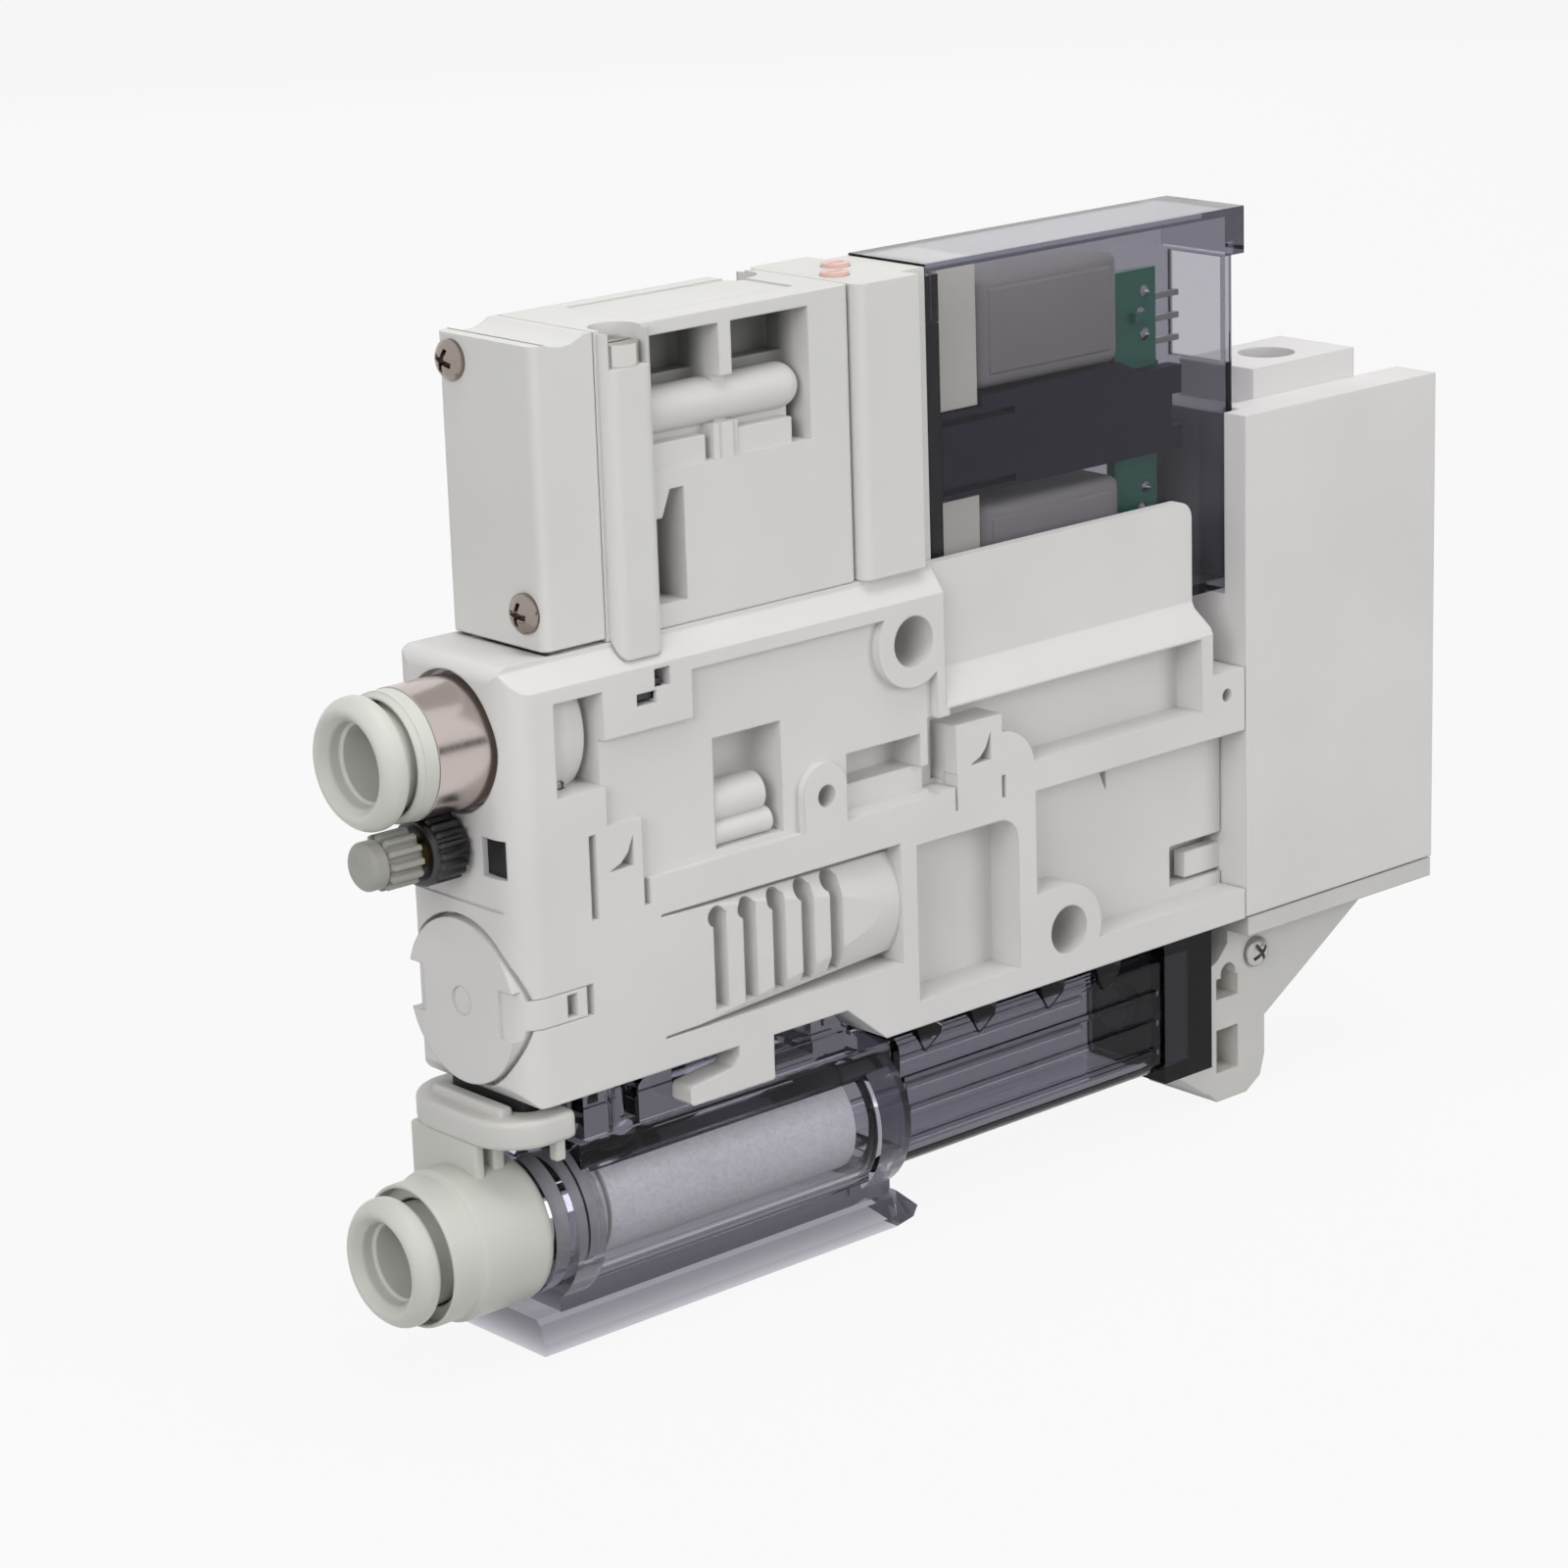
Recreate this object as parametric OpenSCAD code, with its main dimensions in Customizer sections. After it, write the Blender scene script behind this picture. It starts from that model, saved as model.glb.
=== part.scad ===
// Slim stackable vacuum ejector unit with supply and release valves, suction
// filter, exhaust silencer and one-touch tube fittings. Millimetres, +Z up.
// The origin lies under the middle of the filter case's foot, on the mid-plane.
// X runs towards the silencer and Y across the unit. The modules below count X
// from the port face, and placed() moves each piece to the origin.

/* [Unit] */
// Thickness of the unit, which is also the pitch at which units stack
unit_t = 15; // [15:0.5:17]
// Length of the main body, from the port face to the silencer case
body_l = 83.5; // [80:0.5:92]
// Height of the body's lower edge over the filter's axis
rail_h = 12.2; // [12:0.1:13]
// Height of the ejector's axis over the body's lower edge
jet_h = 7.9; // [7.8:0.1:8.4]
// Height of the supply port's axis over the ejector's axis
supply_h = 21.5; // [21.3:0.1:22]
// Wall over the supply fitting
roof_t = 1.4; // [1.3:0.1:2]
// Radius of the moulded corners at the port face
corner_r = 2.6; // [1:0.1:2.8]
// Depth of the sunk panel on the sides
panel_d = 0.8; // [0.4:0.1:0.9]

/* [Mounting] */
// Diameter of the two through holes for M4 mounting screws
mount_d = 4.4; // [4.2:0.1:4.6]
// Distance of the upper mounting hole from the port face
mount_x1 = 43; // [42.5:0.1:43.2]
// Distance of the lower mounting hole from the port face
mount_x2 = 60.8; // [60.5:0.1:61.5]

/* [Tube fittings] */
// Outside diameter of the tube that both ports take
tube_d = 6; // [5.8:0.1:6.2]
// Outside diameter of the release bushes
bush_d = 10.8; // [10.2:0.2:10.8]
// Stroke of a release bush when it is pressed in
bush_stroke = 0.8; // [0.5:0.1:0.9]
// Height of the vacuum port's axis, which is the filter's axis, over the foot
vacuum_z = 10; // [9.8:0.1:10.2]

/* [Ejector cartridge] */
// Diameter of the round plug that closes the cartridge bore
plug_d = 13.8; // [12.6:0.1:14]
// Bore of the nozzle at its throat
nozzle_d = 1; // [0.5:0.1:1.3]
// Number of vent slots in the cartridge housing
vent_n = 5; // [3:1:5]
// Distance between the vent slots
vent_pitch = 3.2; // [3:0.1:3.3]
// Width of one vent slot
vent_w = 1.4; // [1:0.1:1.6]

/* [Release flow needle] */
// Diameter of the ribbed knob
knob_d = 4.6; // [4.2:0.1:4.8]
// Number of ribs round the knob
knob_ribs = 12; // [10:1:16]
// Diameter of the knurled lock nut
nut_d = 5.6; // [5:0.1:5.8]

/* [Valve] */
// Thickness of the valve body and its end cap
valve_t = 12; // [11.6:0.2:12.4]
// Height of the valve above the manifold body
valve_h = 24.8; // [24.4:0.1:26]
// Distance from the port face to the outer end of the valve's end cap
valve_x0 = 5.2; // [5:0.1:5.6]
// Length of the end cap
cap_l = 6.1; // [5.8:0.1:6.4]
// Length of the valve with its end cap, up to the pilot adapter
valve_l = 33.1; // [32.8:0.1:34]
// Length of the pilot adapter
adapter_l = 9.5; // [9.4:0.1:9.8]
// Stroke of the two valve spools
spool_stroke = 0.8; // [0.4:0.1:1]

/* [Pilot solenoids] */
// Thickness of the smoke-coloured cover
cover_t = 9.4; // [9.2:0.1:9.5]
// Wall of the cover
cover_wall = 0.8; // [0.6:0.1:0.9]
// Depth to which the cover sits in the body
cover_drop = 9.2; // [9:0.1:9.4]
// Height of the bobbins' cheeks
cheek_h = 12; // [11.6:0.1:12]
// Height of the solenoids' steel cans
can_h = 9.8; // [9.4:0.1:9.8]

/* [Filter and suction duct] */
// Outside diameter of the filter case
filter_d = 13.6; // [13.4:0.1:13.8]
// Length of the filter case
filter_l = 36.7; // [36:0.1:37.4]
// Width of the foot on which the filter case stands
foot_w = 10.5; // [9.6:0.1:11.4]

/* [Silencer and bracket] */
// Length of the silencer's side plate
plate_l = 25.75; // [23:0.25:30]
// Height of the silencer's side plate
plate_h = 46.6; // [44:0.2:50]
// Thickness of the silencer's side plate
plate_t = 4.7; // [4:0.1:5]

/* [Hidden] */
$fn = 48;

// The outer faces of the unit lie at Y = -side and Y = +side
side = unit_t / 2;
// Gap between pieces that are assembled without being pressed together
gap = 0.1;
// Gap between a housing and a neighbour that stands against it
joint_gap = 0.15;
// Running clearance on the radius of pieces that slide or turn
run = 0.05;
// Overrun of a cut past the face that it opens
over = 0.5;

// Tube fittings
tube_r = tube_d / 2 + gap;
bush_r = bush_d / 2;
neck_r = tube_r + 1.2;
seat_r = neck_r - 0.35;
spigot_r = 4.9;
sleeve_r = 5.4;
sleeve_in = -5;
sleeve_x1 = 8.1;
supply_face = -10;
vacuum_face = -9.8;
port_x0 = -6.8;
port_x1 = 3.2;
port_r = 6.4;

// Heights of the axes and of the body's edges over the foot
nut_r = nut_d / 2;
belly_z = vacuum_z + rail_h;
body_low = belly_z - 3.6;
jet_z = belly_z + jet_h;
seam_z = jet_z + 8.4;
supply_z = jet_z + supply_h;
needle_z = supply_z - sleeve_r - gap - nut_r;
body_top = supply_z + sleeve_r + roof_t;
mount_z1 = body_top - 5.8;
mount_z2 = belly_z + 0.8;

// Ejector cartridge
jet_bore_r = 5.6;
jet_x1 = 41.2;
duct_bore_r = 2.6;
collar_r = jet_bore_r - gap;
nozzle_x0 = 7;
nozzle_x1 = nozzle_x0 + 7.6;
diffuser_x0 = nozzle_x1 + 1.6;
diffuser_r = 3.9;
mixing_x0 = diffuser_x0 + 3.2;
mixing_l = 6.7;
bulge_x0 = 14.6;
bulge_x1 = jet_x1 - 0.3;
bulge_half = 5.3;
vent_x0 = 20.7;
arm_x1 = 6.6;
arm_half = 1.25;
arm_t = 1;

// Needle
stem_r = 1.1;

// Clip of the supply fitting
clip_x = sleeve_x1 - 1.7;
clip_r = 0.75;
clip_y = sleeve_r - 0.8;

// Valve
valve_z0 = body_top + 0.05;
valve_z1 = body_top + valve_h;
half_v = valve_t / 2;
cap_x1 = valve_x0 + cap_l;
valve_x1 = valve_x0 + valve_l;
block_x1 = valve_x1 + adapter_l - 2.6;
neck_x1 = valve_x1 + adapter_l;
block_half = half_v + 0.9;
spool_r = 1.7;
spool_z = [valve_z1 - 7.2, body_top + 6.4];
spool_x0 = cap_x1 + 1.7;
spool_x1 = valve_x1 - 4.7;
land_l = 4;
cap_screw_at = [[4, valve_z1 - 2.4], [-3.9, valve_z0 + 3.2]];
cap_head_r = 1.65;
spring_x0 = valve_x0 + 2.4;
spring_turns = 4;
override_at = [[block_x1 - 4.6, -1.6], [block_x1 - 1.6, 1.6]];
override_r = 1.2;
passage_x = [cap_x1 + 1.3, cap_x1 + 4.5, cap_x1 + 7.3];
pillar_half = 2.3;
pillar_y = half_v + 1.3;
screw_at = [[cap_x1 + 2.8, -5.2], [valve_x1 - 2.9, 5.2]];
screw_head_r = 1.9;
head_z = valve_z1 - 3;
nut_half = 1.8;
nut_z0 = body_top - 5;
window_x0 = screw_at[0][0] + pillar_half + 0.6;
window_x1 = window_x0 + 16.6;
web_x0 = window_x0 + 7.1;
web_x1 = web_x0 + 1.3;
barrel_r = 1.9;
barrel_z = valve_z1 - 7.5;

// Pilot group
cover_z0 = body_top - cover_drop;
cover_z1 = valve_z1 + 0.2;
cover_x1 = body_l + 1.9;
half_c = cover_t / 2;
pilot_z = [cover_z1 - cover_wall - gap - cheek_h / 2, cover_z0 + cover_wall + 0.7 + cheek_h / 2];
pilot_mid = (pilot_z[0] + pilot_z[1]) / 2;
pilot_port_z = [pilot_z[0], pilot_z[1] + 3.4];
pin_r = 1.2;
rail_x0 = neck_x1 + 2.1;
rail_half = (pilot_z[0] - pilot_z[1] - cheek_h) / 2 - 0.2;
cheek_x1 = rail_x0 + 4.4;
cheek_half = half_c - cover_wall - 0.3;
board_x1 = cover_x1 - 7.8;
board_x0 = board_x1 - 5.3;
board_y = -1.6;
board_half = (pilot_z[0] - pilot_z[1]) / 2 + 2.5;
can_x0 = cheek_x1 + gap;
can_x1 = board_x0 - 0.8;
can_half = half_c - cover_wall;
socket_z = [pilot_mid + 2.9, pilot_mid + board_half];
socket_half = 3.3;
gasket_x0 = neck_x1 + 0.05;
gasket_half = half_c - cover_wall - gap;
light_half = -gasket_half + 1.5;
light_z0 = valve_z1 - 4.9;

// Filter, duct and bracket
filter_r = filter_d / 2;
filter_x0 = port_x1 + 1.6;
filter_x1 = filter_x0 + filter_l;
rail_x1 = filter_x1 - 3.8;
foot_x0 = 2.3;
foot_mid = (foot_x0 + filter_x1) / 2;
suction_x = 14;
clip_z0 = vacuum_z + port_r + 2.5;
clip_h = 2.4;
clip_leg_x = 3.6;
key_x0 = 0.4;
key_half = 2.2;
duct_x1 = body_l - 2.3;
end_x0 = duct_x1 - 6.2;
duct_half = 5.1;
duct_z0 = vacuum_z - 5;
duct_z1 = vacuum_z + 7.2;
stem_z = vacuum_z + 1;
bracket_x0 = duct_x1 + 0.5;
bracket_x1 = body_l + 6;
bracket_half = 4.3;
screw_x = bracket_x1 - 1.3;
screw_z = vacuum_z + 3.6;

// Silencer
plate_x0 = body_l + joint_gap;
plate_x1 = plate_x0 + plate_l;
plate_z0 = body_low + gap;
plate_top = plate_z0 + plate_h;
chamber_x0 = plate_x0 + 2.75;
chamber_x1 = plate_x1 - 6;
chamber_z1 = plate_top - 2.4;
chamber_wall = 1.3;
stack_x0 = chamber_x1 - 13.6;
stack_z1 = plate_top + 2.7;
strip_z0 = body_low - 1.9;

// Flanges and recesses of the body
flange_x0 = neck_x1 - 1;
flange_x1 = body_l - 5.2;
flange_set = 1.5;
floor_d = 3.1;
arch_x = 53.2;

// ---------------------------------------------------------------- helpers

// A profile drawn in X and Z, extruded across the unit from y0 to y1
module across(y0, y1) {
    translate([0, y1, 0]) rotate([90, 0, 0]) linear_extrude(y1 - y0) children();
}

// A profile drawn in Y and Z, extruded along the unit from x0 to x1
module along(x0, x1) {
    translate([x0, 0, 0]) rotate([90, 0, 90]) linear_extrude(x1 - x0) children();
}

// A block given by its six faces
module block(x0, x1, y0, y1, z0, z1) {
    translate([x0, y0, z0]) cube([x1 - x0, y1 - y0, z1 - z0]);
}

// A round bar along X
module bar_x(x0, x1, r, z, y = 0) {
    translate([x0, y, z]) rotate([0, 90, 0]) cylinder(h = x1 - x0, r = r);
}

// A tapering round bar along X
module cone_x(x0, x1, r0, r1, z, y = 0) {
    translate([x0, y, z]) rotate([0, 90, 0]) cylinder(h = x1 - x0, r1 = r0, r2 = r1);
}

// A body turned about an axis along X, from a profile of [radius, x] points
module turned_x(z, y = 0) {
    translate([0, y, z]) rotate([0, 90, 0]) rotate_extrude() children();
}

// An O-ring about an axis along X
module o_ring_x(x, r, cord, z) {
    translate([x, 0, z]) rotate([0, 90, 0]) rotate_extrude() translate([r, 0]) circle(d = cord);
}

// A round hole or bar across the unit
module bar_y(x, z, r, y0, y1) {
    translate([x, y1, z]) rotate([90, 0, 0]) cylinder(h = y1 - y0, r = r);
}

// What is left over outside a rounded corner of a profile; the material lies
// towards sx, sz
module corner_waste(x, z, sx, sz, r) {
    translate([x, z]) mirror([sx < 0 ? 1 : 0, 0]) mirror([0, sz < 0 ? 1 : 0]) difference() {
        translate([-over, -over]) square(r + over);
        translate([r, r]) circle(r = r);
    }
}

// What is left over outside a rounded upright edge, for cutting it round.
// The edge stands at x, y and the material lies towards sx, sy.
module upright_edge(x, y, sx, sy, r, z0, z1) {
    translate([x, y, z0]) mirror([sx < 0 ? 1 : 0, 0, 0]) mirror([0, sy < 0 ? 1 : 0, 0])
    difference() {
        translate([-over, -over, 0]) cube([r + over, r + over, z1 - z0]);
        translate([r, r, -1]) cylinder(h = z1 - z0 + 2, r = r);
    }
}

// Both outer sides of the unit carry the same pockets
module both_sides() {
    children();
    mirror([0, 1, 0]) children();
}

// A rectangle in a profile, given by its four sides
module rect(a0, a1, b0, b1) {
    translate([a0, b0]) square([a1 - a0, b1 - b0]);
}

// A rectangle with round corners
module round_rect(a0, a1, b0, b1, r) {
    translate([a0 + r, b0 + r]) offset(r = r, $fn = 24) square([a1 - a0 - 2 * r, b1 - b0 - 2 * r]);
}

// ---------------------------------------------------------------- body

// Side view of the body
module body_outline() {
    difference() {
        polygon([
            [1.6, belly_z], [rail_x1 - 3.3, belly_z], [rail_x1 + 1.1, body_low], [body_l, body_low],
            [body_l, seam_z + 3.8], [body_l - 4.1, seam_z + 3.8], [body_l - 4.1, seam_z + 8.3],
            [flange_x1, seam_z + 10.1], [flange_x1, body_top], [0, body_top], [0, belly_z + 1.6]
        ]);
        corner_waste(flange_x1, body_top, -1, -1, 1.6);
        corner_waste(0, body_top, 1, -1, 1.3);
    }
}

// Hook over the filter case, one at each side
module hooks() {
    both_sides() across(-side, -side + 2.4) polygon([
        [17.2, body_low - 0.3], [25.9, body_low - 0.3], [26.1, body_low - 0.1], [26.1, belly_z + 0.4],
        [22.3, belly_z + 0.4], [22.3, belly_z - 0.8], [21.6, belly_z - 1.7], [17.2, body_low + 1.4],
        [16.9, body_low + 1.1], [16.9, body_low]
    ]);
}

// Slanting shoulder beside the valve, and the thinner flange beside the cover
module shoulders() {
    both_sides() along(-1, flange_x0 - 0.2) polygon([
        [-side - 1, body_top - 3.2], [-side, body_top - 2.2], [-half_v - gap, body_top - 0.4],
        [-half_v - gap, body_top + 1], [-side - 1, body_top + 1]
    ]);
    both_sides() along(flange_x0 - 0.2, body_l + 1) polygon([
        [-side - 1, cover_z0 - 4.4], [-side, cover_z0 - 3], [-side + flange_set, cover_z0],
        [-side + flange_set, body_top + 1], [-side - 1, body_top + 1]
    ]);
}

// Shallow sunk panel on one side, with the raised plates left standing in it
module sunk_panel() {
    difference() {
        block(9.5, mount_x1 + 2.6, -side - over, -side + panel_d, seam_z + 0.2, body_top - 3.4);
        block(9, 18.8, -side - 1, 0, body_top - 7.4, body_top);
        block(9, 13, -side - 1, 0, seam_z - 1, seam_z + 5.5);
        bar_y(mount_x1, mount_z1, mount_d / 2 + 1.8, -side - 1, 0);
        bar_y(32.7, seam_z + 3.4, 2.4, -side - 1, 0);
        block(30.3, 35.1, -side - 1, 0, seam_z - 1, seam_z + 3.4);
    }
}

// Window in front of the supply fitting: the fitting's housing shows in it
module port_window() {
    difference() {
        block(4.6, 9.5, -side - over, -3.6, supply_z - 4.3, supply_z + 3.4);
        bar_x(-1, 7, sleeve_r + 1.15, supply_z);
        cone_x(7, 8.6, sleeve_r + 1.15, sleeve_r + 0.7, supply_z);
    }
}

// Square window with two small housings lying in it
module square_window() {
    difference() {
        block(21.3, 28.6, -side - over, -3, seam_z + 0.7, seam_z + 10.1);
        bar_x(20, 27, 1.7, seam_z + 4.2, -side + 2.7);
        bar_x(20, 27.6, 1.1, seam_z + 1.8, -side + 2);
        block(20, 27, -side + 2.7, 0, seam_z + 0.5, seam_z + 5.1);
    }
}

// Recess in which the cartridge housing bulges: the housing leaves the side flush
// and sinks towards its tail, between two gaps that grow wider with it
module bulge_recess() {
    difference() {
        block(bulge_x0, bulge_x1, -side - over, -4.6, jet_z - bulge_half, jet_z + bulge_half);
        cone_x(bulge_x0 - 0.5, bulge_x1 + 1, side + 1.8, side - 0.25, jet_z);
    }
    for (s = [-1, 1])
        across(-side - over, -4.1) polygon([
            [bulge_x0, jet_z + s * (bulge_half - 0.2)], [bulge_x1, jet_z + s * (bulge_half - 0.9)],
            [bulge_x1, jet_z + s * bulge_half], [bulge_x0, jet_z + s * bulge_half]
        ]);
    for (i = [0:vent_n - 1]) translate([vent_x0 + i * vent_pitch, 0, 0]) {
        block(-vent_w / 2, vent_w / 2, -side - over, -3, jet_z - 4.2, jet_z + 4.1);
        bar_y(-0.35, jet_z + 3.8, vent_w / 2 + 0.2, -side - over, -3);
    }
}

// Small windows that are a right angle under a curved back
module latch_window(x, z) {
    across(-side - over, -side + 1.6)
        polygon([[x, z + 2.5], [x, z], [x - 2.5, z], [x - 1.3, z + 0.5], [x - 0.6, z + 1.2]]);
}

// Pockets, windows and slits of one side of the body
module side_pockets() {
    sunk_panel();
    port_window();
    square_window();
    bulge_recess();
    // long slot above the rail with a ledge along its foot
    block(35.8, 44.2, -side - over, -3.4, seam_z + 2.8, seam_z + 5.7);
    block(35.8, 45.2, -side - over, -side + 1.6, seam_z + 0.7, seam_z + 2.8);
    block(45.1, 47.5, -side - over, -side + 2.6, seam_z + 0.4, seam_z + 6.9);
    // recess over the rear rail, round the arch of the column
    difference() {
        block(47, flange_x1 - 0.4, -side - over, -side + floor_d, seam_z + 0.8, seam_z + 7.5);
        block(47.6, arch_x - 0.1, -side - 1, 0, seam_z, seam_z + 5.8);
        bar_y(arch_x, seam_z + 0.4, 3.7, -side - 1, 0);
    }
    // recess in front of the column
    difference() {
        block(42.8, arch_x + 1.6, -side - over, -side + 3.6, body_low + 2.3, jet_z + 4.7);
        difference() {
            block(arch_x - 0.6, arch_x + 2, -side - 1, 0, jet_z + 2.5, jet_z + 6);
            bar_y(arch_x - 0.6, jet_z + 2.5, 2.2, -side - 2, 1);
        }
    }
    // large recess, open towards the silencer case
    difference() {
        block(57, body_l + 1, -side - over, -side + floor_d, body_low + 2.8, jet_z + 6.4);
        bar_y(mount_x2, mount_z2, mount_d / 2 + 1.9, -side - 1, 0);
        block(56, mount_x2, -side - 1, 0, body_low, mount_z2 + mount_d / 2 + 1.9);
    }
    across(-side, -side + floor_d + 0.8) polygon([
        [64.6, jet_z + 6.4], [68.7, jet_z + 6.4], [68.7, jet_z + 3.3], [67.9, jet_z + 5.2],
        [66.6, jet_z + 5.9]
    ]);
    block(body_l - 6.7, body_l + 1, -side - over, -2.2, belly_z + 0.3, belly_z + 4.1);
    // latch slits and their small windows
    block(7.5, 8.2, -side - over, -side + 1.6, seam_z - 1.9, seam_z + 5.1);
    block(12.95, 13.6, -side - over, -side + 1.6, seam_z - 1.9, seam_z + 0.3);
    latch_window(12, seam_z + 1.7);
    latch_window(arch_x - 1.5, seam_z + 2);
    block(47.45, 47.7, -side - over, -side + 1.6, seam_z - 1.7, seam_z + 1.5);
    block(arch_x - 0.25, arch_x + 0.2, -side - over, -side + 1.6, seam_z - 1.7, seam_z + 0.3);
    // windows that show the captive nut
    block(14.9, 16.5, -side - over, -side + 3.6, body_top - 4.1, body_top - 2.6);
    block(13, 15, -side - over, -side + 3.6, body_top - 5.3, body_top - 4.3);
    // small round holes
    bar_y(32.8, seam_z + 2.9, 0.95, -side - over, -1.5);
    bar_y(body_l - 2.3, seam_z + 1.7, 0.6, -side - over, -side + 3);
    // groove for the arm of the end plug, and the pocket under its catch
    block(0.3, arm_x1 + 0.7, -side - over, -side + arm_t + run,
        jet_z - arm_half - run, jet_z + arm_half + run);
    block(arm_x1 - 2, arm_x1 - 1, -side - over, -side + 1.7, jet_z - 0.95, jet_z + 0.95);
}

// Bores and passages inside the body
module body_bores() {
    // supply fitting, its chamber and the passage up to the valve
    bar_x(-1, 1.2, sleeve_r + 0.45, supply_z);
    bar_x(-1, sleeve_x1 + gap, sleeve_r + run, supply_z);
    bar_x(sleeve_x1, passage_x[0] + 0.6, 3, supply_z);
    translate([passage_x[0], 0, supply_z]) cylinder(h = 10, r = 0.9);
    // holes and recess of the fitting clip
    for (y = [-clip_y, clip_y]) translate([clip_x, y, supply_z - 5.1]) cylinder(h = 15, r = clip_r + gap);
    block(clip_x - clip_r - gap, clip_x + clip_r + gap, -clip_y - 1, clip_y + 1,
        body_top - 1.9, body_top + 1);
    // needle bore, its seat and the passages at both ends
    bar_x(-1, 14.2, stem_r + run, needle_z);
    bar_x(14, passage_x[1], 0.7, needle_z);
    translate([passage_x[1], 0, needle_z]) cylinder(h = body_top - needle_z + 1, r = 0.9);
    translate([11.5, 0, jet_z + 5]) cylinder(h = needle_z - jet_z - 5, r = 0.7);
    // cartridge bore, plug seat and exhaust duct
    bar_x(-1, 1.6, plug_d / 2 + 0.35, jet_z);
    bar_x(-1, jet_x1, jet_bore_r, jet_z);
    bar_x(jet_x1 - 1, body_l + 1, duct_bore_r, jet_z);
    // drive passage from the valve to the chamber behind the plug
    translate([passage_x[2], 2.4, jet_z + 7]) cylinder(h = body_top - jet_z, r = 0.8);
    bar_x(6, passage_x[2], 0.8, jet_z + 7, 2.4);
    translate([6, 2.4, jet_z + 3]) cylinder(h = 4, r = 0.8);
    // suction passage with the seat of the check valve
    translate([suction_x, 0, belly_z - 1]) cylinder(h = 9, r = 1.8);
    translate([suction_x, 0, belly_z - 1]) cylinder(h = 2.1, r = 3.2);
    // square hole and seam line on the port face
    block(-1, 6, -6.1, -3.4, needle_z - 2, needle_z + 1.2);
    block(-1, 0.15, -side - over, side + over, seam_z, seam_z + 0.2);
    // captive nuts and screw holes of the valve
    for (p = screw_at) translate([p[0], p[1], 0]) {
        translate([0, 0, nut_z0 - 2]) cylinder(h = 10, r = 1.1);
        translate([0, 0, nut_z0 - gap + 0.9])
            cube([2 * (nut_half + gap), 2 * (nut_half + gap), 1.8], center = true);
    }
    // gasket recess under the valve
    block(cap_x1 + 0.1, valve_x1 - 2.2, -4.1, 4.1, body_top - 0.5, body_top + 1);
    // channel for the pilot cover
    block(flange_x0 - gap, body_l + 1, -half_c - gap, half_c + gap, cover_z0 - 0.25, body_top + 1);
}

module ejector_body() {
    color("#d4d3d0") difference() {
        union() {
            across(-side, side) body_outline();
            hooks();
        }
        shoulders();
        both_sides() side_pockets();
        body_bores();
        for (s = [-1, 1]) {
            upright_edge(0, s * side, 1, -s, corner_r, 10, body_top + 1);
        }
        bar_y(mount_x1, mount_z1, mount_d / 2, -side - 1, side + 1);
        bar_y(mount_x2, mount_z2, mount_d / 2, -side - 1, side + 1);
    }
}

// ---------------------------------------------------------------- tube fittings

// Inside profile of a one-touch fitting: bush bore, seal seat, tube bore, passage
module fitting_bore(x0, x1, z) {
    bar_x(x0 - 1, x0 + 4.4, neck_r + run, z);
    bar_x(x0 + 4.3, x0 + 7.4, seat_r, z);
    bar_x(x0 + 7.3, x0 + 10.4, tube_r, z);
    bar_x(x0 + 10.3, x1 + 1, 2.1, z);
}

// Release bush: a rounded flange outside, and a neck that reaches the collet
module release_bush(face, x1, z) {
    difference() {
        union() {
            turned_x(z) polygon([
                [0, face], [bush_r - 0.7, face], [bush_r - 0.2, face + 0.2], [bush_r, face + 0.7],
                [bush_r, face + 2], [bush_r - 0.3, face + 2.3], [0, face + 2.3]
            ]);
            bar_x(face + 2, x1, neck_r, z);
        }
        bar_x(face - 1, x1 + 1, tube_r, z);
        cone_x(face - 0.1, face + 0.7, tube_r + 0.8, tube_r + 0.1, z);
    }
}

// Spring-steel collet: a thin ring slit into gripping teeth
module collet(x0, z) {
    difference() {
        bar_x(x0, x0 + 1.2, seat_r - gap, z);
        bar_x(x0 - 1, x0 + 2, tube_r + 0.25, z);
        for (a = [0:45:315])
            translate([x0, 0, z]) rotate([a, 0, 0]) block(-0.1, 0.9, -0.15, 0.15, 0, seat_r + 1);
    }
}

// Lip seal that grips the tube
module tube_seal(x0, z) {
    difference() {
        bar_x(x0, x0 + 1.5, seat_r - run, z);
        bar_x(x0 - 1, x0 + 2, tube_r + gap, z);
        cone_x(x0 - 0.1, x0 + 0.8, tube_r + 0.6, tube_r, z);
    }
}

module supply_fitting() {
    color("#b9b3b4") difference() {
        bar_x(sleeve_in, sleeve_x1, sleeve_r, supply_z);
        fitting_bore(sleeve_in, sleeve_x1, supply_z);
        // groove for the clip, and groove for the O-ring
        difference() {
            bar_x(clip_x - 0.9, clip_x + 0.9, sleeve_r + 1, supply_z);
            bar_x(clip_x - 2, clip_x + 2, clip_y - clip_r - gap, supply_z);
        }
        difference() {
            bar_x(3, 4.5, sleeve_r + 1, supply_z);
            bar_x(2, 5, sleeve_r - 1, supply_z);
        }
    }
}

module supply_guide_ring() {
    color("#e3e5e1") difference() {
        union() {
            cone_x(sleeve_in - 1.8, sleeve_in - 1.3, bush_r - 0.5, bush_r - gap, supply_z);
            bar_x(sleeve_in - 1.35, sleeve_in, bush_r - gap, supply_z);
        }
        bar_x(sleeve_in - 3, sleeve_in + 1, neck_r + 0.45, supply_z);
    }
}

module supply_release_bush() {
    color("#e6e8e4") release_bush(supply_face, sleeve_in + 4.3 - bush_stroke, supply_z);
}

module supply_collet() {
    color("#c8cacc") collet(sleeve_in + 4.45, supply_z);
}

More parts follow.
